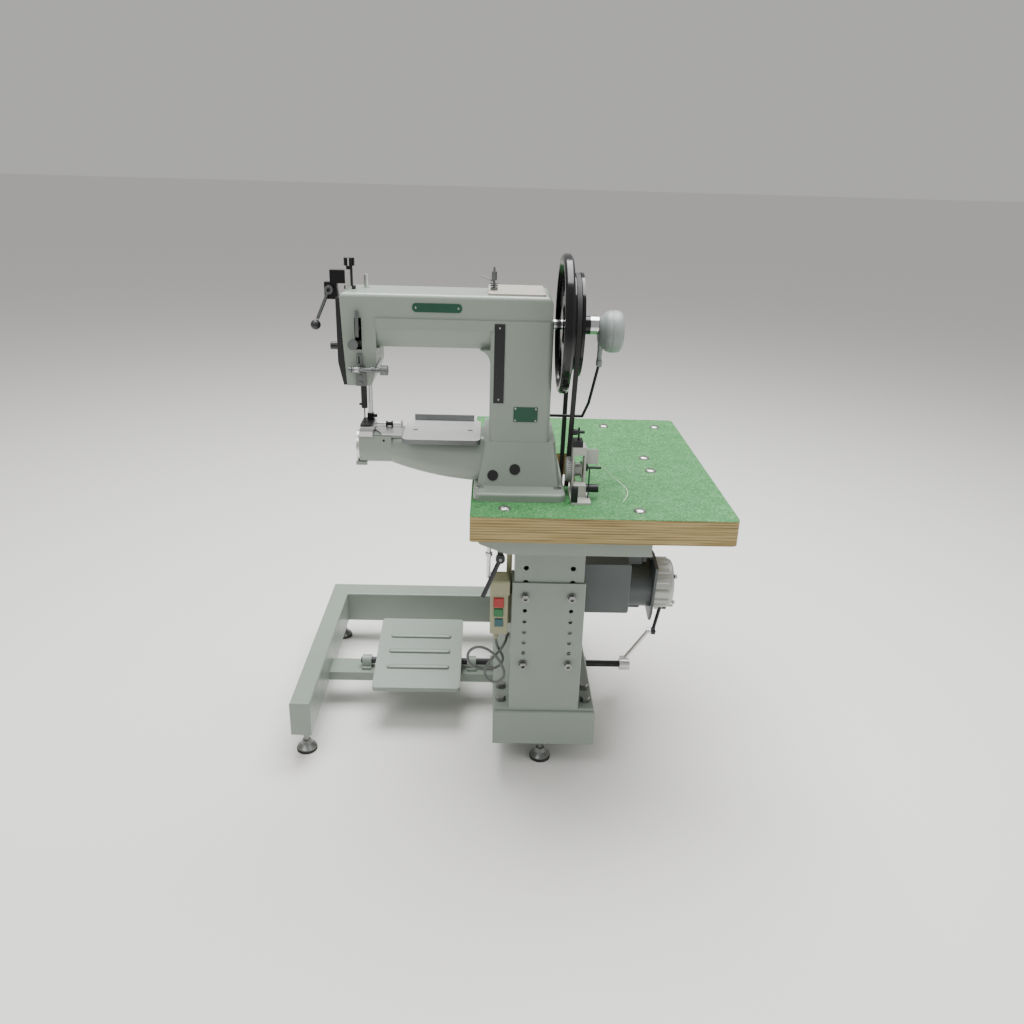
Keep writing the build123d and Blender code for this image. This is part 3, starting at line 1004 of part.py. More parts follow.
with BuildPart() as mains_plug:
    taper("X", (PLUG_X, PLUG_Y, PLUG_Z), 24, CORD_R + 1.5, 8)
    rounded_block(PLUG_X + 22, PLUG_X + 58, PLUG_Y - 19, PLUG_Y + 19, FRAME_TOP, FRAME_TOP + 22, 7)
    for y in (PLUG_Y - 9, PLUG_Y + 7):
        block(PLUG_X + 58, PLUG_X + 75, y, y + 2, PLUG_Z - 3, PLUG_Z + 3)
mains_plug.part.label = "mains_plug"
export_step(mains_plug.part, "parts/mains_plug.step")

# Sewing thread that hangs from the winder's bracket and trails on the table.
THREAD_R = 0.5
THREAD_LOW = TABLE_TOP + THREAD_R + 0.1
THREAD_ROUTE = [(181, -228, 716.5), (190, -214, 713), (203, -195, 702), (217, -180, 687),
                (231, -168, 672), (243, -166, 660), (252, -177, THREAD_LOW), (256.5, -195, THREAD_LOW),
                (257, -217, THREAD_LOW), (253, -239, THREAD_LOW), (246, -258, THREAD_LOW),
                (239, -275, THREAD_LOW)]
with BuildPart() as winder_thread:
    tube(THREAD_ROUTE, THREAD_R)
winder_thread.part.label = "winder_thread"
export_step(winder_thread.part, "parts/winder_thread.step")
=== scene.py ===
import math

import bmesh
import bpy
from mathutils import Matrix, Vector


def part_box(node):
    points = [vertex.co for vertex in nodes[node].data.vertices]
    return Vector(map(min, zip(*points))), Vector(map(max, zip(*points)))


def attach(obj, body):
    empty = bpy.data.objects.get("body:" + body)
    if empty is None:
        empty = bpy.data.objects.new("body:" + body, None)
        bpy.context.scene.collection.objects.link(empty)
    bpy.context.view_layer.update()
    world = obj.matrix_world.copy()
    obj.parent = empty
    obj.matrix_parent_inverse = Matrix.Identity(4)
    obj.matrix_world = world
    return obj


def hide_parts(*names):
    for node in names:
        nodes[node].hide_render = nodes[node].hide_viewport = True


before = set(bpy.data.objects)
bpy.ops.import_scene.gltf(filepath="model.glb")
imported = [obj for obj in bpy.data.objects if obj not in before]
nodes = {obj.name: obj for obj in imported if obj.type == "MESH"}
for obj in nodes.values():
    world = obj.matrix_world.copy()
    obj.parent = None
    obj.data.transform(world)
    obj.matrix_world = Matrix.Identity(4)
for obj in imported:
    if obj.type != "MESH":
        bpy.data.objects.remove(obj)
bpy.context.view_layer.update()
MM = 0.001

# ---------------------------------------------------------------------------
# Viewpoint. A fixed camera in front of the operator's side, a little left of
# the column and above the arm, tipped down so that table and stand both show.
# ---------------------------------------------------------------------------
eye_place = Vector((-17.6, -1811.7, 1245.3)) * MM
turn, tip, lean = math.radians(1.352), math.radians(21.794), math.radians(-1.637)
ahead = Vector((math.sin(turn) * math.cos(tip), math.cos(turn) * math.cos(tip), -math.sin(tip)))
level_right = Vector((math.cos(turn), -math.sin(turn), 0.0))
level_down = ahead.cross(level_right)
right = level_right * math.cos(lean) + level_down * math.sin(lean)
down = level_down * math.cos(lean) - level_right * math.sin(lean)
view = Matrix((right, -down, -ahead)).transposed().to_4x4()
view.translation = eye_place

lens_data = bpy.data.cameras.new("viewpoint")
lens_data.lens = 30.254
lens_data.sensor_width = 36.0
lens_data.shift_x = 0.0042
viewpoint = bpy.data.objects.new("viewpoint", lens_data)
viewpoint.matrix_world = view
bpy.context.scene.collection.objects.link(viewpoint)
bpy.context.scene.camera = viewpoint


# ---------------------------------------------------------------------------
# Mains lead: 6 mm grey round PVC lead. It leaves the switch box through its
# strain relief, hangs in two loops beside the column, runs behind it and lies
# coiled on the foot with its moulded plug.
# ---------------------------------------------------------------------------
def blank_finish(name, colour, roughness, metallic=0.0):
    """A new material with one plain shader, and that shader's node."""
    finish = bpy.data.materials.new(name)
    finish.use_nodes = True
    shader = finish.node_tree.nodes["Principled BSDF"]
    shader.inputs["Base Color"].default_value = (*colour, 1.0)
    shader.inputs["Roughness"].default_value = roughness
    shader.inputs["Metallic"].default_value = metallic
    return finish, shader


def object_noise(finish, scale, detail=3.0, stretch=(1.0, 1.0, 1.0)):
    """A cloudy pattern fixed to the piece, with cells about 1/scale metres across."""
    tree = finish.node_tree
    place = tree.nodes.new("ShaderNodeTexCoord")
    mapping = tree.nodes.new("ShaderNodeMapping")
    mapping.inputs["Scale"].default_value = stretch
    clouds = tree.nodes.new("ShaderNodeTexNoise")
    clouds.inputs["Scale"].default_value = scale
    clouds.inputs["Detail"].default_value = detail
    tree.links.new(place.outputs["Object"], mapping.inputs["Vector"])
    tree.links.new(mapping.outputs["Vector"], clouds.inputs["Vector"])
    return clouds.outputs["Fac"]


def colour_steps(finish, amount, steps):
    """Colours looked up from a 0 to 1 amount: steps is (place, colour) pairs."""
    ramp = finish.node_tree.nodes.new("ShaderNodeValToRGB")
    ramp.color_ramp.elements[0].position = steps[0][0]
    ramp.color_ramp.elements[0].color = (*steps[0][1], 1.0)
    ramp.color_ramp.elements[1].position = steps[-1][0]
    ramp.color_ramp.elements[1].color = (*steps[-1][1], 1.0)
    for place, colour in steps[1:-1]:
        ramp.color_ramp.elements.new(place).color = (*colour, 1.0)
    finish.node_tree.links.new(amount, ramp.inputs["Fac"])
    return ramp.outputs["Color"]


def raise_surface(finish, shader, amount, height, strength=1.0):
    """Turns a pattern into a small relief, height metres deep."""
    relief = finish.node_tree.nodes.new("ShaderNodeBump")
    relief.inputs["Strength"].default_value = strength
    relief.inputs["Distance"].default_value = height
    finish.node_tree.links.new(amount, relief.inputs["Height"])
    finish.node_tree.links.new(relief.outputs["Normal"], shader.inputs["Normal"])


def spread(finish, amount, low, high):
    """A 0 to 1 amount stretched onto low to high."""
    stretch = finish.node_tree.nodes.new("ShaderNodeMapRange")
    stretch.inputs["To Min"].default_value = low
    stretch.inputs["To Max"].default_value = high
    finish.node_tree.links.new(amount, stretch.inputs["Value"])
    return stretch.outputs["Result"]


def shaded(colour, factor):
    """A colour made darker or lighter by a factor."""
    return tuple(channel * factor for channel in colour)


def plain_finish(name, colour, roughness, metallic=0.0, grain=90.0, relief=0.0001, vary=0.12):
    """Plastic, rubber or metal: slightly uneven colour and gloss, and a fine relief."""
    finish, shader = blank_finish(name, colour, roughness, metallic)
    clouds = object_noise(finish, 9.0, 4.0)
    mottled = colour_steps(finish, clouds, [(0.3, shaded(colour, 1 - vary)),
                                            (0.7, shaded(colour, 1 + vary))])
    finish.node_tree.links.new(mottled, shader.inputs["Base Color"])
    fine = object_noise(finish, grain, 2.0)
    finish.node_tree.links.new(spread(finish, fine, roughness * 0.8, min(1.0, roughness * 1.25)),
                               shader.inputs["Roughness"])
    raise_surface(finish, shader, fine, relief)
    return finish


def wear(node_name, finish):
    """Gives a machined node its finish."""
    piece = nodes[node_name]
    piece.data.materials.clear()
    piece.data.materials.append(finish)
    return piece


def smooth_cord(name, points, thick, finish):
    """A round cord through a given route, as one smooth spline."""
    line = bpy.data.curves.new(name, "CURVE")
    line.dimensions = "3D"
    spline = line.splines.new("NURBS")
    spline.points.add(len(points) - 1)
    for spot, point in zip(spline.points, points):
        spot.co = (point[0] * MM, point[1] * MM, point[2] * MM, 1.0)
    spline.order_u = 3
    spline.use_endpoint_u = True
    spline.resolution_u = 8
    line.bevel_depth = thick / 2
    line.bevel_resolution = 4
    line.use_fill_caps = True
    line.materials.append(finish)
    cord = bpy.data.objects.new(name, line)
    bpy.context.scene.collection.objects.link(cord)
    return cord


lead_route = [(2, -212, 316), (4, -210, 300), (12, -206, 282), (20, -204, 264), (15, -204, 245),
              (-5, -204, 234), (-30, -204, 233), (-51, -205, 245), (-59, -208, 267),
              (-52, -212, 288), (-32, -217, 299), (-10, -221, 292), (7, -223, 274),
              (18, -223, 254), (23, -223, 235), (17, -223, 219), (1, -222, 212), (-15, -220, 219),
              (-21, -217, 235), (-16, -214, 252), (-1, -213, 272), (15, -214, 291),
              (25, -204, 308), (27, -184, 313), (29, -163, 303), (35, -147, 283),
              (43, -136, 258), (50, -129, 231), (55, -123, 203), (58, -114, 177),
              (59, -98, 158), (59, -78, 153.1)]
coil_centre = (98.0, -60.0)
lower_layer, upper_layer = 153.1, 159.1
steps_per_turn = 16
# each turn's first and last radius, first and last height, and part of a full turn:
# two on the foot, one that climbs, two on top, and a quarter to the plug's side
coil_turns = [(39, 33, lower_layer, lower_layer, 1.0), (33, 27, lower_layer, lower_layer, 1.0),
              (27, 27, lower_layer, upper_layer, 1.0), (27, 33, upper_layer, upper_layer, 1.0),
              (33, 38, upper_layer, upper_layer, 1.0), (38, 39, upper_layer, upper_layer, 0.25)]
coil_route = []
for first, last, start_rise, end_rise, part_turn in coil_turns:
    steps = round(steps_per_turn * part_turn)
    for step in range(steps):
        share = step / steps
        angle = math.pi - step / steps_per_turn * math.tau
        radius = first + (last - first) * share
        coil_route.append((coil_centre[0] + radius * math.cos(angle),
                           coil_centre[1] + radius * math.sin(angle),
                           start_rise + (end_rise - start_rise) * share))
tail_route = [(98, -21, 159.1), (114, -21, 159.6), (130, -21, 161)]

lead_thick = 6 * MM
grey_pvc = plain_finish("grey PVC", (0.105, 0.115, 0.108), 0.42, grain=400.0, relief=0.00004)
mains_lead = smooth_cord("mains_flex", lead_route + coil_route + tail_route, lead_thick, grey_pvc)
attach(mains_lead, "machine")
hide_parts("mains_lead", "mains_coil")
moulded_black = plain_finish("black moulded plastic", (0.022, 0.022, 0.024), 0.42,
                             grain=500.0, relief=0.00006)
wear("mains_plug", moulded_black)


def new_piece(name, mesh, body, finish=None):
    """Adds a mesh to the scene as one finished piece that rides on a body."""
    if finish:
        mesh.materials.append(finish)
    piece = bpy.data.objects.new(name, mesh)
    bpy.context.scene.collection.objects.link(piece)
    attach(piece, body)
    return piece


# releasable nylon tie: a flat strap round the bundle of turns, with its square head
tie_shape = bmesh.new()
tie_wide, tie_thick, tie_rounding = 4.6, 0.9, 3.2
foot_top, bundle_top = 150.05, 162.4
bundle_back, bundle_front = -83.6, -102.4
bundle_middle = (bundle_front + bundle_back) / 2
loop = []
for corner, (y, z) in enumerate([(bundle_front, foot_top), (bundle_front, bundle_top),
                                 (bundle_back, bundle_top), (bundle_back, foot_top)]):
    for degrees in range(0, 91, 15):
        loop.append((y, z, math.radians(-90 - 90 * corner - degrees)))
rings = []
for side in (-tie_wide / 2, tie_wide / 2):
    for grow in (0.0, tie_thick):
        ring = []
        for y, z, angle in loop:
            on_foot = z == foot_top
            inset_y = y + (tie_rounding if y < bundle_middle else -tie_rounding)
            inset_z = z + (tie_rounding if on_foot else -tie_rounding)
            reach = tie_rounding + grow - (tie_thick if on_foot else 0)
            height = inset_z + (tie_rounding + grow) * math.sin(angle)
            ring.append(tie_shape.verts.new(((coil_centre[0] + side) * MM,
                                             (inset_y + reach * math.cos(angle)) * MM,
                                             max(foot_top, height) * MM)))
        rings.append(ring)
for k in range(len(loop)):
    following = (k + 1) % len(loop)
    for one, other in ((0, 1), (1, 3), (3, 2), (2, 0)):
        tie_shape.faces.new((rings[one][k], rings[one][following],
                             rings[other][following], rings[other][k]))
tie_head_size, tie_head_rise = (7.0, 6.0, 5.0), 2.0
tie_head = bmesh.ops.create_cube(tie_shape, size=1.0)["verts"]
bmesh.ops.scale(tie_shape, vec=Vector(tie_head_size) * MM, verts=tie_head)
bmesh.ops.translate(tie_shape, verts=tie_head,
                    vec=Vector((coil_centre[0], bundle_middle, bundle_top + tie_head_rise)) * MM)
tie_head_edges = [edge for edge in tie_shape.edges if set(edge.verts) <= set(tie_head)]
bmesh.ops.bevel(tie_shape, geom=tie_head_edges, offset=0.8 * MM, segments=2, affect="EDGES")
bmesh.ops.remove_doubles(tie_shape, verts=tie_shape.verts, dist=1e-6)
bmesh.ops.recalc_face_normals(tie_shape, faces=tie_shape.faces)
tie_mesh = bpy.data.meshes.new("lead_tie")
tie_shape.to_mesh(tie_mesh)
tie_shape.free()
lead_tie = new_piece("lead_tie", tie_mesh, "machine", moulded_black)

# ---------------------------------------------------------------------------
# Winder thread: a loose end of white sewing thread that hangs from the
# winder's bracket, falls to the table and trails over it.
# ---------------------------------------------------------------------------
on_table = 655.6
thread_thick = 1 * MM
thread_route = [(181, -228, 716.5), (190, -214, 713), (203, -195, 702), (217, -180, 687),
                (231, -168, 672), (243, -166, 660), (252, -177, on_table),
                (256.5, -195, on_table), (257, -217, on_table), (253, -239, on_table),
                (246, -258, on_table), (239, -275, on_table)]
white_thread = plain_finish("white thread", (0.80, 0.80, 0.74), 0.8, grain=900.0, relief=0.00005)
loose_thread = smooth_cord("loose_thread", thread_route, thread_thick, white_thread)
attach(loose_thread, "machine")
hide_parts("winder_thread")

# ---------------------------------------------------------------------------
# Room: a plain pale floor that runs on to the horizon, an even pale sky, and
# three soft panels of studio light.
# ---------------------------------------------------------------------------
floor_mesh = bpy.data.meshes.new("floor")
half_floor = 60.0
floor_mesh.from_pydata([(-half_floor, -half_floor, 0), (half_floor, -half_floor, 0),
                        (half_floor, half_floor, 0), (-half_floor, half_floor, 0)],
                       [], [(0, 1, 2, 3)])
floor = bpy.data.objects.new("floor", floor_mesh)
bpy.context.scene.collection.objects.link(floor)
floor_mesh.materials.append(blank_finish("pale floor", (0.86, 0.85, 0.83), 0.7)[0])

world = bpy.data.worlds.new("studio")
bpy.context.scene.world = world
world.use_nodes = True
sky = world.node_tree.nodes["Background"]
sky.inputs["Color"].default_value = (0.93, 0.92, 0.90, 1.0)
sky.inputs["Strength"].default_value = 0.52


def light_panel(name, place, target, size, watts, colour=(1.0, 1.0, 1.0)):
    """A soft rectangular lamp that faces a point."""
    data = bpy.data.lights.new(name, "AREA")
    data.shape = "RECTANGLE"
    data.size, data.size_y = size
    data.energy = watts
    data.color = colour
    lamp = bpy.data.objects.new(name, data)
    lamp.location = place
    lamp.rotation_euler = (Vector(target) - Vector(place)).to_track_quat("-Z", "Y").to_euler()
    bpy.context.scene.collection.objects.link(lamp)


light_panel("key", (-1.5, -1.7, 3.3), (0, 0, 0.6), (2.2, 1.6), 40, (1.0, 0.99, 0.97))
light_panel("fill", (2.6, -1.8, 1.6), (0, 0, 0.5), (1.6, 1.6), 12, (0.96, 0.98, 1.0))
light_panel("overhead", (0.2, 0.5, 3.2), (0, 0, 0.5), (2.8, 2.2), 215)

# ---------------------------------------------------------------------------
# Stand: pressed-steel beams and a square telescopic column, in pale grey-green
# machine enamel, brushed thick enough to leave a faint orange-peel skin.
# ---------------------------------------------------------------------------
def enamel_finish(name, colour, roughness, dust=0.06):
    """Machine enamel: a slightly cloudy colour, dulled by hands and dust, with orange peel."""
    finish, shader = blank_finish(name, colour, roughness)
    clouds = object_noise(finish, 3.5, 5.0)
    faded = (colour[0] * (1 + dust), colour[1] * (1 + dust * 0.7), colour[2])
    hue = colour_steps(finish, clouds, [(0.25, shaded(colour, 1 - dust)), (0.55, colour),
                                        (0.8, faded)])
    finish.node_tree.links.new(hue, shader.inputs["Base Color"])
    smears = object_noise(finish, 22.0, 4.0, (1.0, 1.0, 0.35))
    finish.node_tree.links.new(spread(finish, smears, roughness - 0.07, roughness + 0.12),
                               shader.inputs["Roughness"])
    peel = object_noise(finish, 260.0, 2.0)
    raise_surface(finish, shader, peel, 0.00012, 0.6)
    shader.inputs["Coat Weight"].default_value = 0.25
    shader.inputs["Coat Roughness"].default_value = 0.18
    return finish


stand_enamel = enamel_finish("stand enamel", (0.222, 0.266, 0.228), 0.42)
for name in ("floor_frame", "base_foot", "outer_column", "inner_column", "table_bearers",
             "treadle_plate", "shaft_bearings"):
    wear(name, stand_enamel)

# the bolts and washers that hold the column: zinc-plated steel with light handling marks
zinc = plain_finish("zinc plated steel", (0.24, 0.25, 0.24), 0.36, 0.9,
                    grain=700.0, relief=0.00003, vary=0.2)
wear("stand_bolts", zinc)

# ---------------------------------------------------------------------------
# Levelling feet: a zinc-plated cone pad and threaded stud, screwed up into the
# beams, on a black rubber sole.
# ---------------------------------------------------------------------------
sole_top = 6.2 * MM
feet = wear("levelling_feet", zinc)
sole_rubber = plain_finish("black rubber", (0.018, 0.018, 0.018), 0.62,
                           grain=600.0, relief=0.00012)
feet.data.materials.append(sole_rubber)
for face in feet.data.polygons:
    face.material_index = 1 if face.center.z < sole_top else 0

# ---------------------------------------------------------------------------
# Table: a 50 mm board of many birch and poplar plies, faced with a green
# speckled laminate of 1 mm.
# ---------------------------------------------------------------------------
ply_thick, ply_wave = 0.0026, 0.006


def worked_out(finish, operation, *amounts, clamp=False):
    """One step of arithmetic, in which each amount is a number or a node's output."""
    step = finish.node_tree.nodes.new("ShaderNodeMath")
    step.operation = operation
    step.use_clamp = clamp
    for socket, amount in zip(step.inputs, amounts):
        if isinstance(amount, float):
            socket.default_value = amount
        else:
            finish.node_tree.links.new(amount, socket)
    return step.outputs[0]


plywood, ply_shader = blank_finish("plywood edge", (0.34, 0.235, 0.11), 0.62)
ply_tree = plywood.node_tree
ply_place = ply_tree.nodes.new("ShaderNodeTexCoord")
heights = ply_tree.nodes.new("ShaderNodeSeparateXYZ")
ply_tree.links.new(ply_place.outputs["Object"], heights.inputs["Vector"])
ply_warp = object_noise(plywood, 7.0, 3.0, (1.0, 1.0, 4.0))
waved_height = worked_out(plywood, "MULTIPLY_ADD", ply_warp, ply_wave, heights.outputs["Z"])
ply_count = worked_out(plywood, "MULTIPLY", waved_height, 1 / ply_thick)
within_ply = worked_out(plywood, "PINGPONG", ply_count, 1.0)
ply_shade = worked_out(plywood, "MULTIPLY_ADD", within_ply, 0.30, -0.28)
wood_grain = object_noise(plywood, 150.0, 7.0, (0.05, 0.05, 1.9))
grained = worked_out(plywood, "MULTIPLY_ADD", wood_grain, 1.25, ply_shade, clamp=True)
ply_colour = colour_steps(plywood, grained,
                          [(0.08, (0.085, 0.055, 0.020)), (0.32, (0.22, 0.155, 0.055)),
                           (0.55, (0.36, 0.27, 0.105)), (0.9, (0.47, 0.375, 0.175))])
ply_tree.links.new(ply_colour, ply_shader.inputs["Base Color"])
raise_surface(plywood, ply_shader, grained, 0.0005, 0.7)
wear("table_top", plywood)

laminate, laminate_shader = blank_finish("green laminate", (0.135, 0.36, 0.145), 0.52)
laminate_shader.inputs["Specular IOR Level"].default_value = 0.3
speckle = object_noise(laminate, 300.0, 3.0)
patches = object_noise(laminate, 26.0, 4.0)
mixed = worked_out(laminate, "MULTIPLY_ADD", patches, 0.22, speckle)
green = colour_steps(laminate, mixed,
                     [(0.50, (0.030, 0.150, 0.042)), (0.66, (0.062, 0.225, 0.074)),
                      (0.86, (0.16, 0.37, 0.165))])
laminate.node_tree.links.new(green, laminate_shader.inputs["Base Color"])
raise_surface(laminate, laminate_shader, speckle, 0.0003, 0.5)
wear("table_laminate", laminate)

# ---------------------------------------------------------------------------
# Head: grey-green enamelled castings. The bed, arm and top cover are cast
# iron, filled, rubbed down and sprayed smoother than the stand.
# ---------------------------------------------------------------------------
head_enamel = enamel_finish("head enamel", (0.250, 0.292, 0.250), 0.34, 0.05)
cover_enamel = enamel_finish("cover enamel", (0.40, 0.37, 0.33), 0.38, 0.04)
wear("bed_casting", head_enamel)
wear("arm_casting", head_enamel)
wear("arm_top_cover", cover_enamel)

# ---------------------------------------------------------------------------
# Head fittings: japanned plates, glossy wheels, chromed and ground shafts, and
# small levers and guides of phosphated or blackened steel.
# ---------------------------------------------------------------------------
satin_black = plain_finish("black japanning", (0.012, 0.012, 0.014), 0.28,
                           grain=240.0, relief=0.00006)
gloss_black, gloss_shader = blank_finish("gloss black enamel", (0.004, 0.004, 0.005), 0.16)
gloss_shader.inputs["Coat Weight"].default_value = 0.15
gloss_shader.inputs["Specular IOR Level"].default_value = 0.35
gloss_shader.inputs["Coat Roughness"].default_value = 0.05
peel = object_noise(gloss_black, 60.0, 3.0)
raise_surface(gloss_black, gloss_shader, peel, 0.0003, 0.35)
chrome = plain_finish("chrome plate", (0.62, 0.62, 0.63), 0.12, 1.0,
                      grain=300.0, relief=0.00002, vary=0.08)
bright_steel = plain_finish("ground steel", (0.72, 0.72, 0.71), 0.30, 1.0,
                            grain=500.0, relief=0.00001, vary=0.06)
gun_steel = plain_finish("phosphated steel", (0.17, 0.18, 0.18), 0.34, 0.85,
                         grain=300.0, relief=0.00003, vary=0.25)
oxide_black = plain_finish("black oxide steel", (0.035, 0.035, 0.038), 0.38, 0.7,
                           grain=400.0, relief=0.00006, vary=0.3)
for name in ("face_plate", "black_trim"):
    wear(name, satin_black)
for name in ("hand_wheel", "drive_pulley", "presser_regulator"):
    wear(name, gloss_black)
for name in ("main_shaft", "machine_bolts"):
    wear(name, chrome)
for name in ("lower_shaft", "end_cap", "needle_plate", "arm_cover_plate", "work_table",
             "presser_bar", "motor_pulley"):
    wear(name, bright_steel)
for name in ("take_up_lever", "tension_set", "tension_knob", "thread_guides", "hand_lifter"):
    wear(name, gun_steel)
for name in ("edge_guide", "needle_bar", "presser_foot", "synchroniser_rod",
             "winder_trim", "lifter_lever"):
    wear(name, oxide_black)

# the tray's upward faces get a near-white steel: their ground and polished finish with painted
# sheen of the overhead light added; the rim and rail keep the darker steel, which on the rim is
# partly painted shade
rail_foot = 765 * MM
tray = nodes["work_table"]
tray_top_painted_sheen = plain_finish("tray steel with painted sheen", (0.93, 0.93, 0.92), 0.24, 0.55,
                         grain=500.0, relief=0.000008, vary=0.03)
tray.data.materials.append(tray_top_painted_sheen)
tray.data.materials[0] = gun_steel
for face in tray.data.polygons:
    # faces that point upward take the near-white steel as painted sheen
    if face.normal.z > 0.8 and face.center.z < rail_foot:
        face.material_index = 1

# the hand lifter ends in a black moulded ball
ball_centre, ball_reach = Vector((-350, -174, 962)) * MM, 9.7 * MM
lifter = nodes["hand_lifter"]
lifter.data.materials.append(moulded_black)
for face in lifter.data.polygons:
    if (face.center - ball_centre).length < ball_reach:
        face.material_index = 1

# the flat steel stay of the presser regulator is bright, the rest is black
stay_back, stay_left = -169.9 * MM, -291.5 * MM
regulator = nodes["presser_regulator"]
regulator.data.materials.append(bright_steel)
for face in regulator.data.polygons:
    if face.center.y < stay_back and face.center.x > stay_left:
        face.material_index = 1

# the two blank plates are lacquered dark green
badge_green = plain_finish("badge green", (0.006, 0.062, 0.034), 0.38,
                           grain=500.0, relief=0.00004)
wear("green_plates", badge_green)

# ---------------------------------------------------------------------------
# Treadle linkage: a blackened shaft with a bright crank clamped on its outer
# end, and a black rod from the crank's pin up to the motor's lever.
# ---------------------------------------------------------------------------
for name in ("pitman_rod", "motor_lever"):
    wear(name, oxide_black)
crank_start = 312 * MM
treadle_shaft = wear("treadle_shaft", oxide_black)
treadle_shaft.data.materials.append(bright_steel)
for face in treadle_shaft.data.polygons:
    if face.center.x > crank_start:
        face.material_index = 1

# ---------------------------------------------------------------------------
# Switch box: a cream moulded box and hood screwed to the column, with three
# coloured push buttons. The drive's control box is a dark grey moulding.
# ---------------------------------------------------------------------------
cream = plain_finish("cream plastic", (0.27, 0.27, 0.165), 0.42, grain=420.0, relief=0.00008)
for name in ("switch_box", "switch_hood"):
    wear(name, cream)
for name, hue, colour in (("red_button", "red", (0.33, 0.012, 0.010)),
                          ("green_button", "green", (0.006, 0.13, 0.030)),
                          ("blue_button", "teal", (0.008, 0.075, 0.090))):
    wear(name, plain_finish(hue + " button plastic", colour, 0.30, grain=500.0, relief=0.00003))
grey_box = plain_finish("dark grey plastic", (0.09, 0.105, 0.105), 0.5,
                        grain=380.0, relief=0.00012)
wear("control_box", grey_box)

# ---------------------------------------------------------------------------
# Motor and belt: a dark enamelled housing and bracket bolted under the table, an
# end cover of cast aluminium, and a V-belt of black rubber.
# ---------------------------------------------------------------------------
motor_paint = enamel_finish("motor enamel", (0.060, 0.075, 0.075), 0.45)
for name in ("motor_body", "motor_bracket"):
    wear(name, motor_paint)
cast_alloy = plain_finish("cast aluminium", (0.42, 0.43, 0.41), 0.5, 0.6,
                          grain=160.0, relief=0.0002, vary=0.15)
wear("motor_end_cover", cast_alloy)
wear("drive_belt", sole_rubber)

# ---------------------------------------------------------------------------
# Bobbin winder: a small casting sprayed pale grey, screwed to the table just
# clear of the belt, with a wheel of cast aluminium.
# ---------------------------------------------------------------------------
pale_casting = enamel_finish("pale casting", (0.45, 0.46, 0.42), 0.40)
wear("winder_frame", pale_casting)
wear("winder_wheel", cast_alloy)

# ---------------------------------------------------------------------------
# Synchroniser: two moulded half shells that meet in a seam, screwed together
# round the end of the main shaft, with an arm that its steel stay holds still.
# ---------------------------------------------------------------------------
grey_case = plain_finish("grey moulded case", (0.24, 0.27, 0.26), 0.38,
                         grain=420.0, relief=0.00006)
shell = bmesh.new()
shell_axis_y, shell_axis_z = -160.0, 960.0
# distance along the shaft, and radius
shell_profile = [(184.0, 0.0), (184.0, 20.0), (185.0, 24.0), (187.5, 27.0), (191.0, 29.5),
                 (195.0, 33.5), (199.0, 36.8), (204.0, 38.9), (208.2, 39.7), (208.5, 39.0),
                 (209.3, 39.0), (209.6, 39.9), (217.0, 39.9), (223.0, 39.0), (227.5, 36.6),
                 (230.0, 33.0), (231.0, 28.0), (231.0, 0.0)]
shell_sides = 72
rows = []
for x, radius in shell_profile:
    if radius == 0.0:
        rows.append([shell.verts.new((x * MM, shell_axis_y * MM, shell_axis_z * MM))])
        continue
    row = []
    for k in range(shell_sides):
        angle = k / shell_sides * math.tau
        row.append(shell.verts.new((x * MM, (shell_axis_y + radius * math.cos(angle)) * MM,
                                    (shell_axis_z + radius * math.sin(angle)) * MM)))
    rows.append(row)
for row, further in zip(rows, rows[1:]):
    for k in range(shell_sides):
        after = (k + 1) % shell_sides
        if len(row) == 1:
            shell.faces.new((row[0], further[k], further[after]))
        elif len(further) == 1:
            shell.faces.new((row[k], further[0], row[after]))
        else:
            shell.faces.new((row[k], further[k], further[after], row[after]))
# the arm: height, half width along the shaft, half width across it, place along the shaft
arm_rows = [(938.0, 5.5, 12.0, 190.5), (926.0, 4.6, 9.0, 190.0), (914.0, 4.4, 7.5, 189.6),
            (907.0, 4.6, 7.5, 189.6), (904.0, 5.6, 10.0, 189.7), (895.0, 5.6, 10.0, 189.7),
            (893.0, 4.6, 9.0, 189.7)]
arm_sides = 20
rows = []
for z, half_x, half_y, x in arm_rows:
    row = []
    for k in range(arm_sides):
        angle = k / arm_sides * math.tau
        out_x, out_y = math.cos(angle), math.sin(angle)
        square = (abs(out_x) ** 4 + abs(out_y) ** 4) ** -0.25
        row.append(shell.verts.new(((x + half_x * out_x * square) * MM,
                                    (shell_axis_y + half_y * out_y * square) * MM, z * MM)))
    rows.append(row)
for row, lower in zip(rows, rows[1:]):
    for k in range(arm_sides):
        after = (k + 1) % arm_sides
        shell.faces.new((row[k], lower[k], lower[after], row[after]))
shell.faces.new(rows[0])
shell.faces.new(rows[-1])
bmesh.ops.recalc_face_normals(shell, faces=shell.faces)
shell_mesh = bpy.data.meshes.new("synchroniser_shell")
shell.to_mesh(shell_mesh)
shell.free()
shell_mesh.shade_smooth()
shell_mesh.set_sharp_from_angle(angle=math.radians(35))
synchroniser = new_piece("synchroniser_shell", shell_mesh, "machine",
                         grey_case)
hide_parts("synchroniser_body")

# ---------------------------------------------------------------------------
# Slotted screws: domed steel heads, turned and slotted, on the table, the
# covers, the blank plates and the trim strip. Each is driven until it feels
# tight, so no two slots point the same way.
# ---------------------------------------------------------------------------
def tree_node(tree, kind, **settings):
    """A node with its settings and the values of its unlinked inputs."""
    node = tree.nodes.new(kind)
    for name, value in settings.items():
        if name in node.inputs:
            node.inputs[name].default_value = value
        else:
            setattr(node, name, value)
    return node


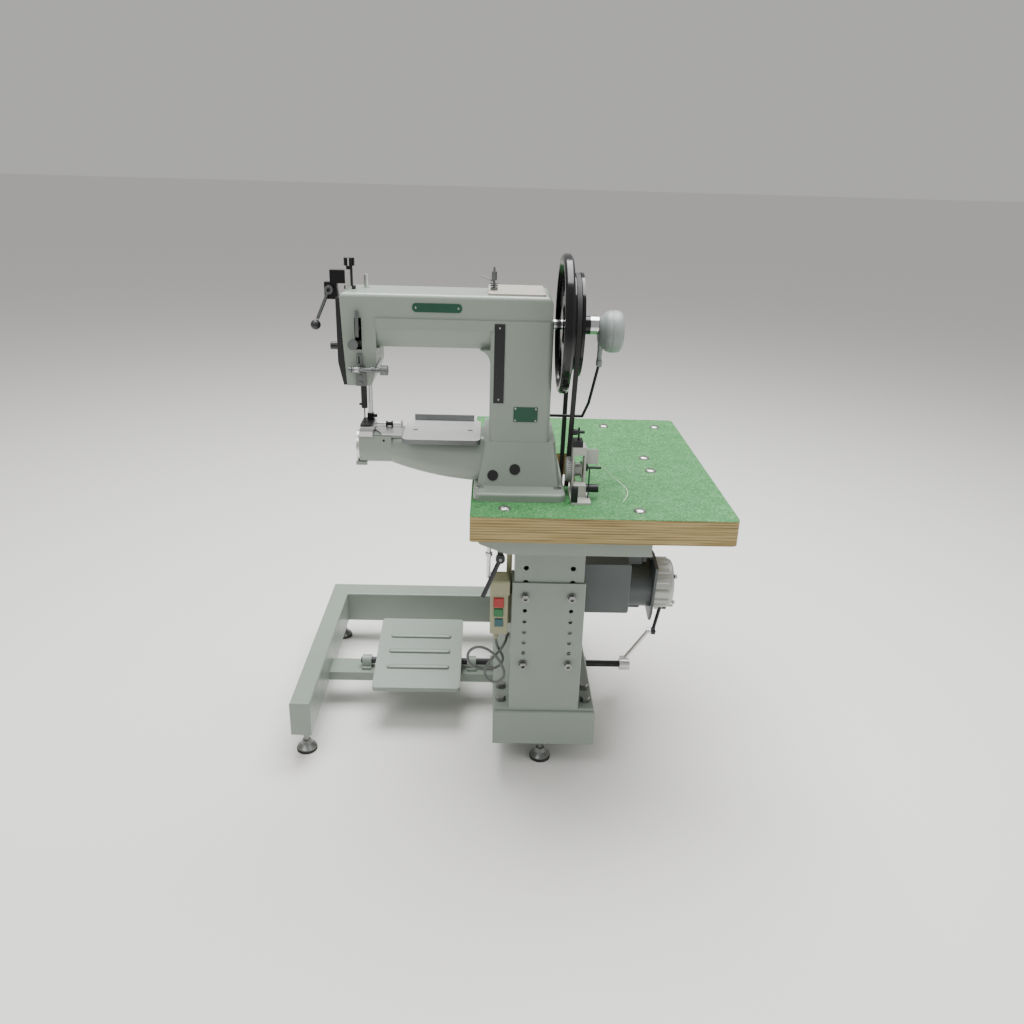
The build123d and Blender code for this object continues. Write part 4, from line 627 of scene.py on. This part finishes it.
def modelled(name, seed_mesh, tree, values):
    """Runs a node tree on a seed mesh and keeps the result as a plain mesh."""
    seed = bpy.data.objects.new(name + "_seed", seed_mesh)
    bpy.context.scene.collection.objects.link(seed)
    stage = seed.modifiers.new("grow", "NODES")
    stage.node_group = tree
    for item in tree.interface.items_tree:
        if item.item_type == "SOCKET" and item.in_out == "INPUT" and item.name in values:
            stage[item.identifier] = values[item.name]
    bpy.context.view_layer.update()
    grown = seed.evaluated_get(bpy.context.evaluated_depsgraph_get())
    mesh = bpy.data.meshes.new_from_object(grown)
    mesh.name = name
    seed.modifiers.clear()
    bpy.data.objects.remove(seed)
    mesh.shade_smooth()
    mesh.set_sharp_from_angle(angle=math.radians(38))
    return mesh


def marked_places(name, rows):
    """Loose points with a turn and a size: rows of place in mm, turn in degrees, size in mm."""
    mesh = bpy.data.meshes.new(name)
    mesh.from_pydata([Vector(place) * MM for place, turn, size in rows], [], [])
    mesh.attributes.new("turn", "FLOAT_VECTOR", "POINT")
    mesh.attributes.new("size", "FLOAT", "POINT")
    for k, (place, turn, size) in enumerate(rows):
        mesh.attributes["turn"].data[k].vector = [math.radians(angle) for angle in turn]
        mesh.attributes["size"].data[k].value = size * MM
    return mesh


def tree_for_places(name, sizes, made):
    """An empty tree: it takes places, named sizes and a finish, and gives what is made."""
    tree = bpy.data.node_groups.new(name, "GeometryNodeTree")
    tree.interface.new_socket("Places", in_out="INPUT", socket_type="NodeSocketGeometry")
    for size in sizes:
        tree.interface.new_socket(size, in_out="INPUT", socket_type="NodeSocketFloat")
    tree.interface.new_socket("Finish", in_out="INPUT", socket_type="NodeSocketMaterial")
    tree.interface.new_socket(made, in_out="OUTPUT", socket_type="NodeSocketGeometry")
    return tree, tree.nodes.new("NodeGroupInput")


def turn_at_place(tree):
    """The turn that each place carries, as a rotation."""
    facing = tree_node(tree, "GeometryNodeInputNamedAttribute", data_type="FLOAT_VECTOR",
                       Name="turn")
    to_rotation = tree.nodes.new("FunctionNodeEulerToRotation")
    tree.links.new(facing.outputs["Attribute"], to_rotation.inputs[0])
    return to_rotation.outputs[0]


def set_on_places(tree, given, shape, rotation, scale=None):
    """Ends a tree: a copy of the shape on each place, made real and given its finish."""
    setting = tree.nodes.new("GeometryNodeInstanceOnPoints")
    tree.links.new(given.outputs["Places"], setting.inputs["Points"])
    tree.links.new(shape, setting.inputs["Instance"])
    tree.links.new(rotation, setting.inputs["Rotation"])
    if scale:
        tree.links.new(scale, setting.inputs["Scale"])
    made_real = tree.nodes.new("GeometryNodeRealizeInstances")
    tree.links.new(setting.outputs["Instances"], made_real.inputs["Geometry"])
    finished = tree.nodes.new("GeometryNodeSetMaterial")
    tree.links.new(made_real.outputs["Geometry"], finished.inputs["Geometry"])
    tree.links.new(given.outputs["Finish"], finished.inputs["Material"])
    result = tree.nodes.new("NodeGroupOutput")
    tree.links.new(finished.outputs["Geometry"], result.inputs[0])


screw_tree, given = tree_for_places("slotted screws", ("Dome height", "Slot width"), "Screws")
link = screw_tree.links.new
ball = tree_node(screw_tree, "GeometryNodeMeshUVSphere", Segments=32, Rings=16, Radius=1.0)
flatness = tree_node(screw_tree, "ShaderNodeCombineXYZ", X=1.0, Y=1.0)
link(given.outputs["Dome height"], flatness.inputs["Z"])
dome = tree_node(screw_tree, "GeometryNodeTransform")
link(ball.outputs["Mesh"], dome.inputs["Geometry"])
link(flatness.outputs[0], dome.inputs["Scale"])
slot_size = tree_node(screw_tree, "ShaderNodeCombineXYZ", X=3.0, Z=0.36)
link(given.outputs["Slot width"], slot_size.inputs["Y"])
slot_cutter = screw_tree.nodes.new("GeometryNodeMeshCube")
link(slot_size.outputs[0], slot_cutter.inputs["Size"])
slot_place = tree_node(screw_tree, "ShaderNodeCombineXYZ")
link(given.outputs["Dome height"], slot_place.inputs["Z"])
placed_cutter = tree_node(screw_tree, "GeometryNodeTransform")
link(slot_cutter.outputs["Mesh"], placed_cutter.inputs["Geometry"])
link(slot_place.outputs[0], placed_cutter.inputs["Translation"])
slotting = tree_node(screw_tree, "GeometryNodeMeshBoolean",
                     operation="DIFFERENCE", solver="EXACT")
link(dome.outputs["Geometry"], slotting.inputs["Mesh 1"])
link(placed_cutter.outputs["Geometry"], slotting.inputs["Mesh 2"])
any_angle = tree_node(screw_tree, "FunctionNodeRandomValue", data_type="FLOAT")
any_angle.inputs[2].default_value = 0.0
any_angle.inputs[3].default_value = math.pi
any_angle.inputs["Seed"].default_value = 11
slot_turn = screw_tree.nodes.new("FunctionNodeAxisAngleToRotation")
slot_turn.inputs["Axis"].default_value = (0.0, 0.0, 1.0)
link(any_angle.outputs[1], slot_turn.inputs["Angle"])
driven = tree_node(screw_tree, "FunctionNodeRotateRotation", rotation_space="LOCAL")
link(turn_at_place(screw_tree), driven.inputs["Rotation"])
link(slot_turn.outputs[0], driven.inputs["Rotate By"])
head_size = tree_node(screw_tree, "GeometryNodeInputNamedAttribute", data_type="FLOAT",
                      Name="size")
set_on_places(screw_tree, given, slotting.outputs["Mesh"], driven.outputs[0],
              head_size.outputs["Attribute"])

FACING_UP, FACING_FRONT = (0, 0, 0), (90, 0, 0)
table_surface, cover_top, needle_plate_top = 655.0, 1032.0, 768.0
bolt_radius, cover_radius, needle_plate_radius, trim_radius = 12.2, 3.6, 2.6, 1.8
bolt_finish = plain_finish("bright plated bolt", (0.42, 0.42, 0.40), 0.22, 0.95,
                           grain=300.0, relief=0.00002, vary=0.2)
table_bolts = [((x, y, table_surface), FACING_UP, bolt_radius) for x, y in
               ((11.5, -320.0), (265.0, -320.0), (11.5, 249.0), (263.0, 249.0), (390.0, 249.0),
                (324.0, -86.0), (324.0, 0.5))]
bolt_places = marked_places("table_bolt_places", table_bolts)
bolt_heads = modelled("table_bolt_heads", bolt_places, screw_tree,
                      {"Dome height": 0.47, "Slot width": 0.20, "Finish": bolt_finish})
new_piece("table_bolt_heads", bolt_heads, "machine")
cover_screws = [((x, y, cover_top), FACING_UP, cover_radius) for x, y in
                ((-19, -197), (72, -197), (-19, -83), (72, -83))]
cover_screws += [((x, y, needle_plate_top), FACING_UP, needle_plate_radius) for x, y in
                 ((-252, -182), (-252, -138))]
# the blank plates and the trim strip on the front of arm and pillar
cover_screws += [(place, FACING_FRONT, trim_radius) for place in
                 ((-158, -219.2, 1005), (-80, -219.2, 1005), (29, -222.0, 821), (68, -222.0, 821),
                  (29, -222.0, 798), (68, -222.0, 798), (-3.8, -222.5, 838), (-3.8, -222.5, 972))]
screw_places = marked_places("cover_screw_places", cover_screws)
screw_heads = modelled("cover_screw_heads", screw_places, screw_tree,
                       {"Dome height": 0.30, "Slot width": 0.22, "Finish": bolt_finish})
new_piece("cover_screw_heads", screw_heads, "machine")

# ---------------------------------------------------------------------------
# Ribs: the treadle's pressed anti-slip ribs, the motor's cooling fins and the
# straight knurling rolled into the tension knob and the winder's wheel.
# ---------------------------------------------------------------------------
rib_tree, given = tree_for_places("rounded ribs", ("Half length", "Radius", "Flatness"), "Ribs")
link = rib_tree.links.new
bead = tree_node(rib_tree, "GeometryNodeMeshUVSphere", Segments=16, Rings=10)
link(given.outputs["Radius"], bead.inputs["Radius"])
bead_place = rib_tree.nodes.new("GeometryNodeInputPosition")
bead_axes = rib_tree.nodes.new("ShaderNodeSeparateXYZ")
link(bead_place.outputs[0], bead_axes.inputs[0])
which_end = tree_node(rib_tree, "ShaderNodeMath", operation="SIGN")
link(bead_axes.outputs["X"], which_end.inputs[0])
pull = tree_node(rib_tree, "ShaderNodeMath", operation="MULTIPLY")
link(which_end.outputs[0], pull.inputs[0])
link(given.outputs["Half length"], pull.inputs[1])
pull_along = rib_tree.nodes.new("ShaderNodeCombineXYZ")
link(pull.outputs[0], pull_along.inputs["X"])
stretched = rib_tree.nodes.new("GeometryNodeSetPosition")
link(bead.outputs["Mesh"], stretched.inputs["Geometry"])
link(pull_along.outputs[0], stretched.inputs["Offset"])
rib_scale = tree_node(rib_tree, "ShaderNodeCombineXYZ", X=1.0, Y=1.0)
link(given.outputs["Flatness"], rib_scale.inputs["Z"])
rib = rib_tree.nodes.new("GeometryNodeTransform")
link(stretched.outputs["Geometry"], rib.inputs["Geometry"])
link(rib_scale.outputs[0], rib.inputs["Scale"])
set_on_places(rib_tree, given, rib.outputs["Geometry"], turn_at_place(rib_tree))


def ribbed(name, rows, half_length, radius, flatness, finish, body):
    """A set of equal ribs on one body: lengths in mm, rows as for marked_places."""
    mesh = modelled(name, marked_places(name + "_places", rows), rib_tree,
                    {"Half length": half_length * MM, "Radius": radius * MM,
                     "Flatness": flatness, "Finish": finish})
    new_piece(name, mesh, body)


# the treadle's three ribs are rounded beads along the flat tops of its pressed ones, set
# out from its front edge up its slope
treadle_middle, treadle_edge_y, treadle_edge_z = -181.25, -87, 106
treadle_degrees, pressed_height = 11.7, 2.5
rise, run = math.sin(math.radians(treadle_degrees)), math.cos(math.radians(treadle_degrees))
treadle_rows = [((treadle_middle, treadle_edge_y + along * run - pressed_height * rise,
                  treadle_edge_z + along * rise + pressed_height * run), (treadle_degrees, 0, 0), 1)
                for along in (70, 125, 180)]
ribbed("treadle_ribs", treadle_rows, half_length=69, radius=6.3, flatness=0.42,
       finish=stand_enamel, body="treadle")


def round_about(centre_y, centre_z, radius, x, first, last, count):
    """Places round an axis along X, from the first angle to the last, each turned outwards."""
    rows = []
    for k in range(count):
        angle = first + (last - first) * k / count
        rows.append(((x, centre_y + radius * math.cos(math.radians(angle)),
                      centre_z + radius * math.sin(math.radians(angle))), (angle - 90, 0, 0), 1))
    return rows


# the housing's fins stand only where the bracket and the control box leave it bare
fin_rows = round_about(centre_y=-40, centre_z=372, radius=56, x=262,
                       first=-120, last=66, count=22)
ribbed("motor_fins", fin_rows, half_length=66, radius=1.7, flatness=2.2,
       finish=motor_paint, body="machine")
knob_low, knob_high = (Vector(corner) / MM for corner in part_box("tension_knob"))
knob_half_length, knob_radius = (knob_high.x - knob_low.x) / 2, (knob_high.z - knob_low.z) / 2
knurl_rows = round_about(centre_y=-232, centre_z=891, radius=knob_radius - 0.15,
                         x=(knob_low.x + knob_high.x) / 2, first=0, last=360, count=30)
ribbed("tension_knob_knurling", knurl_rows, half_length=knob_half_length - 1.6, radius=0.5,
       flatness=1.0, finish=gun_steel, body="tension_nut")
wheel_rows = round_about(centre_y=-215, centre_z=700, radius=23.8, x=136,
                         first=0, last=360, count=40)
ribbed("winder_wheel_ribs", wheel_rows, half_length=3.6, radius=0.8, flatness=1.0,
       finish=gun_steel, body="winder_spindle")

# ---------------------------------------------------------------------------
# Tension spring: a coil of 1.1 mm spring wire between the tension discs and
# the block that carries their post.
# ---------------------------------------------------------------------------
spring_tree, given = tree_for_places("coil spring",
                                     ("Turns", "Coil radius", "Length", "Wire radius"), "Spring")
link = spring_tree.links.new
helix = tree_node(spring_tree, "GeometryNodeCurveSpiral", Resolution=28)
link(given.outputs["Turns"], helix.inputs["Rotations"])
link(given.outputs["Coil radius"], helix.inputs["Start Radius"])
link(given.outputs["Coil radius"], helix.inputs["End Radius"])
link(given.outputs["Length"], helix.inputs["Height"])
wire_section = tree_node(spring_tree, "GeometryNodeCurvePrimitiveCircle", Resolution=10)
link(given.outputs["Wire radius"], wire_section.inputs["Radius"])
wire = spring_tree.nodes.new("GeometryNodeCurveToMesh")
wire.inputs["Fill Caps"].default_value = True
link(helix.outputs["Curve"], wire.inputs["Curve"])
link(wire_section.outputs["Curve"], wire.inputs["Profile Curve"])
set_on_places(spring_tree, given, wire.outputs["Mesh"], turn_at_place(spring_tree))
spring_place = marked_places("tension_spring_place", [((-272, -232, 891), (0, 90, 0), 1)])
spring_mesh = modelled("tension_spring", spring_place, spring_tree,
                       {"Turns": 7.0, "Coil radius": 5.0 * MM, "Length": 9.5 * MM,
                        "Wire radius": 0.55 * MM, "Finish": bright_steel})
new_piece("tension_spring", spring_mesh, "machine")
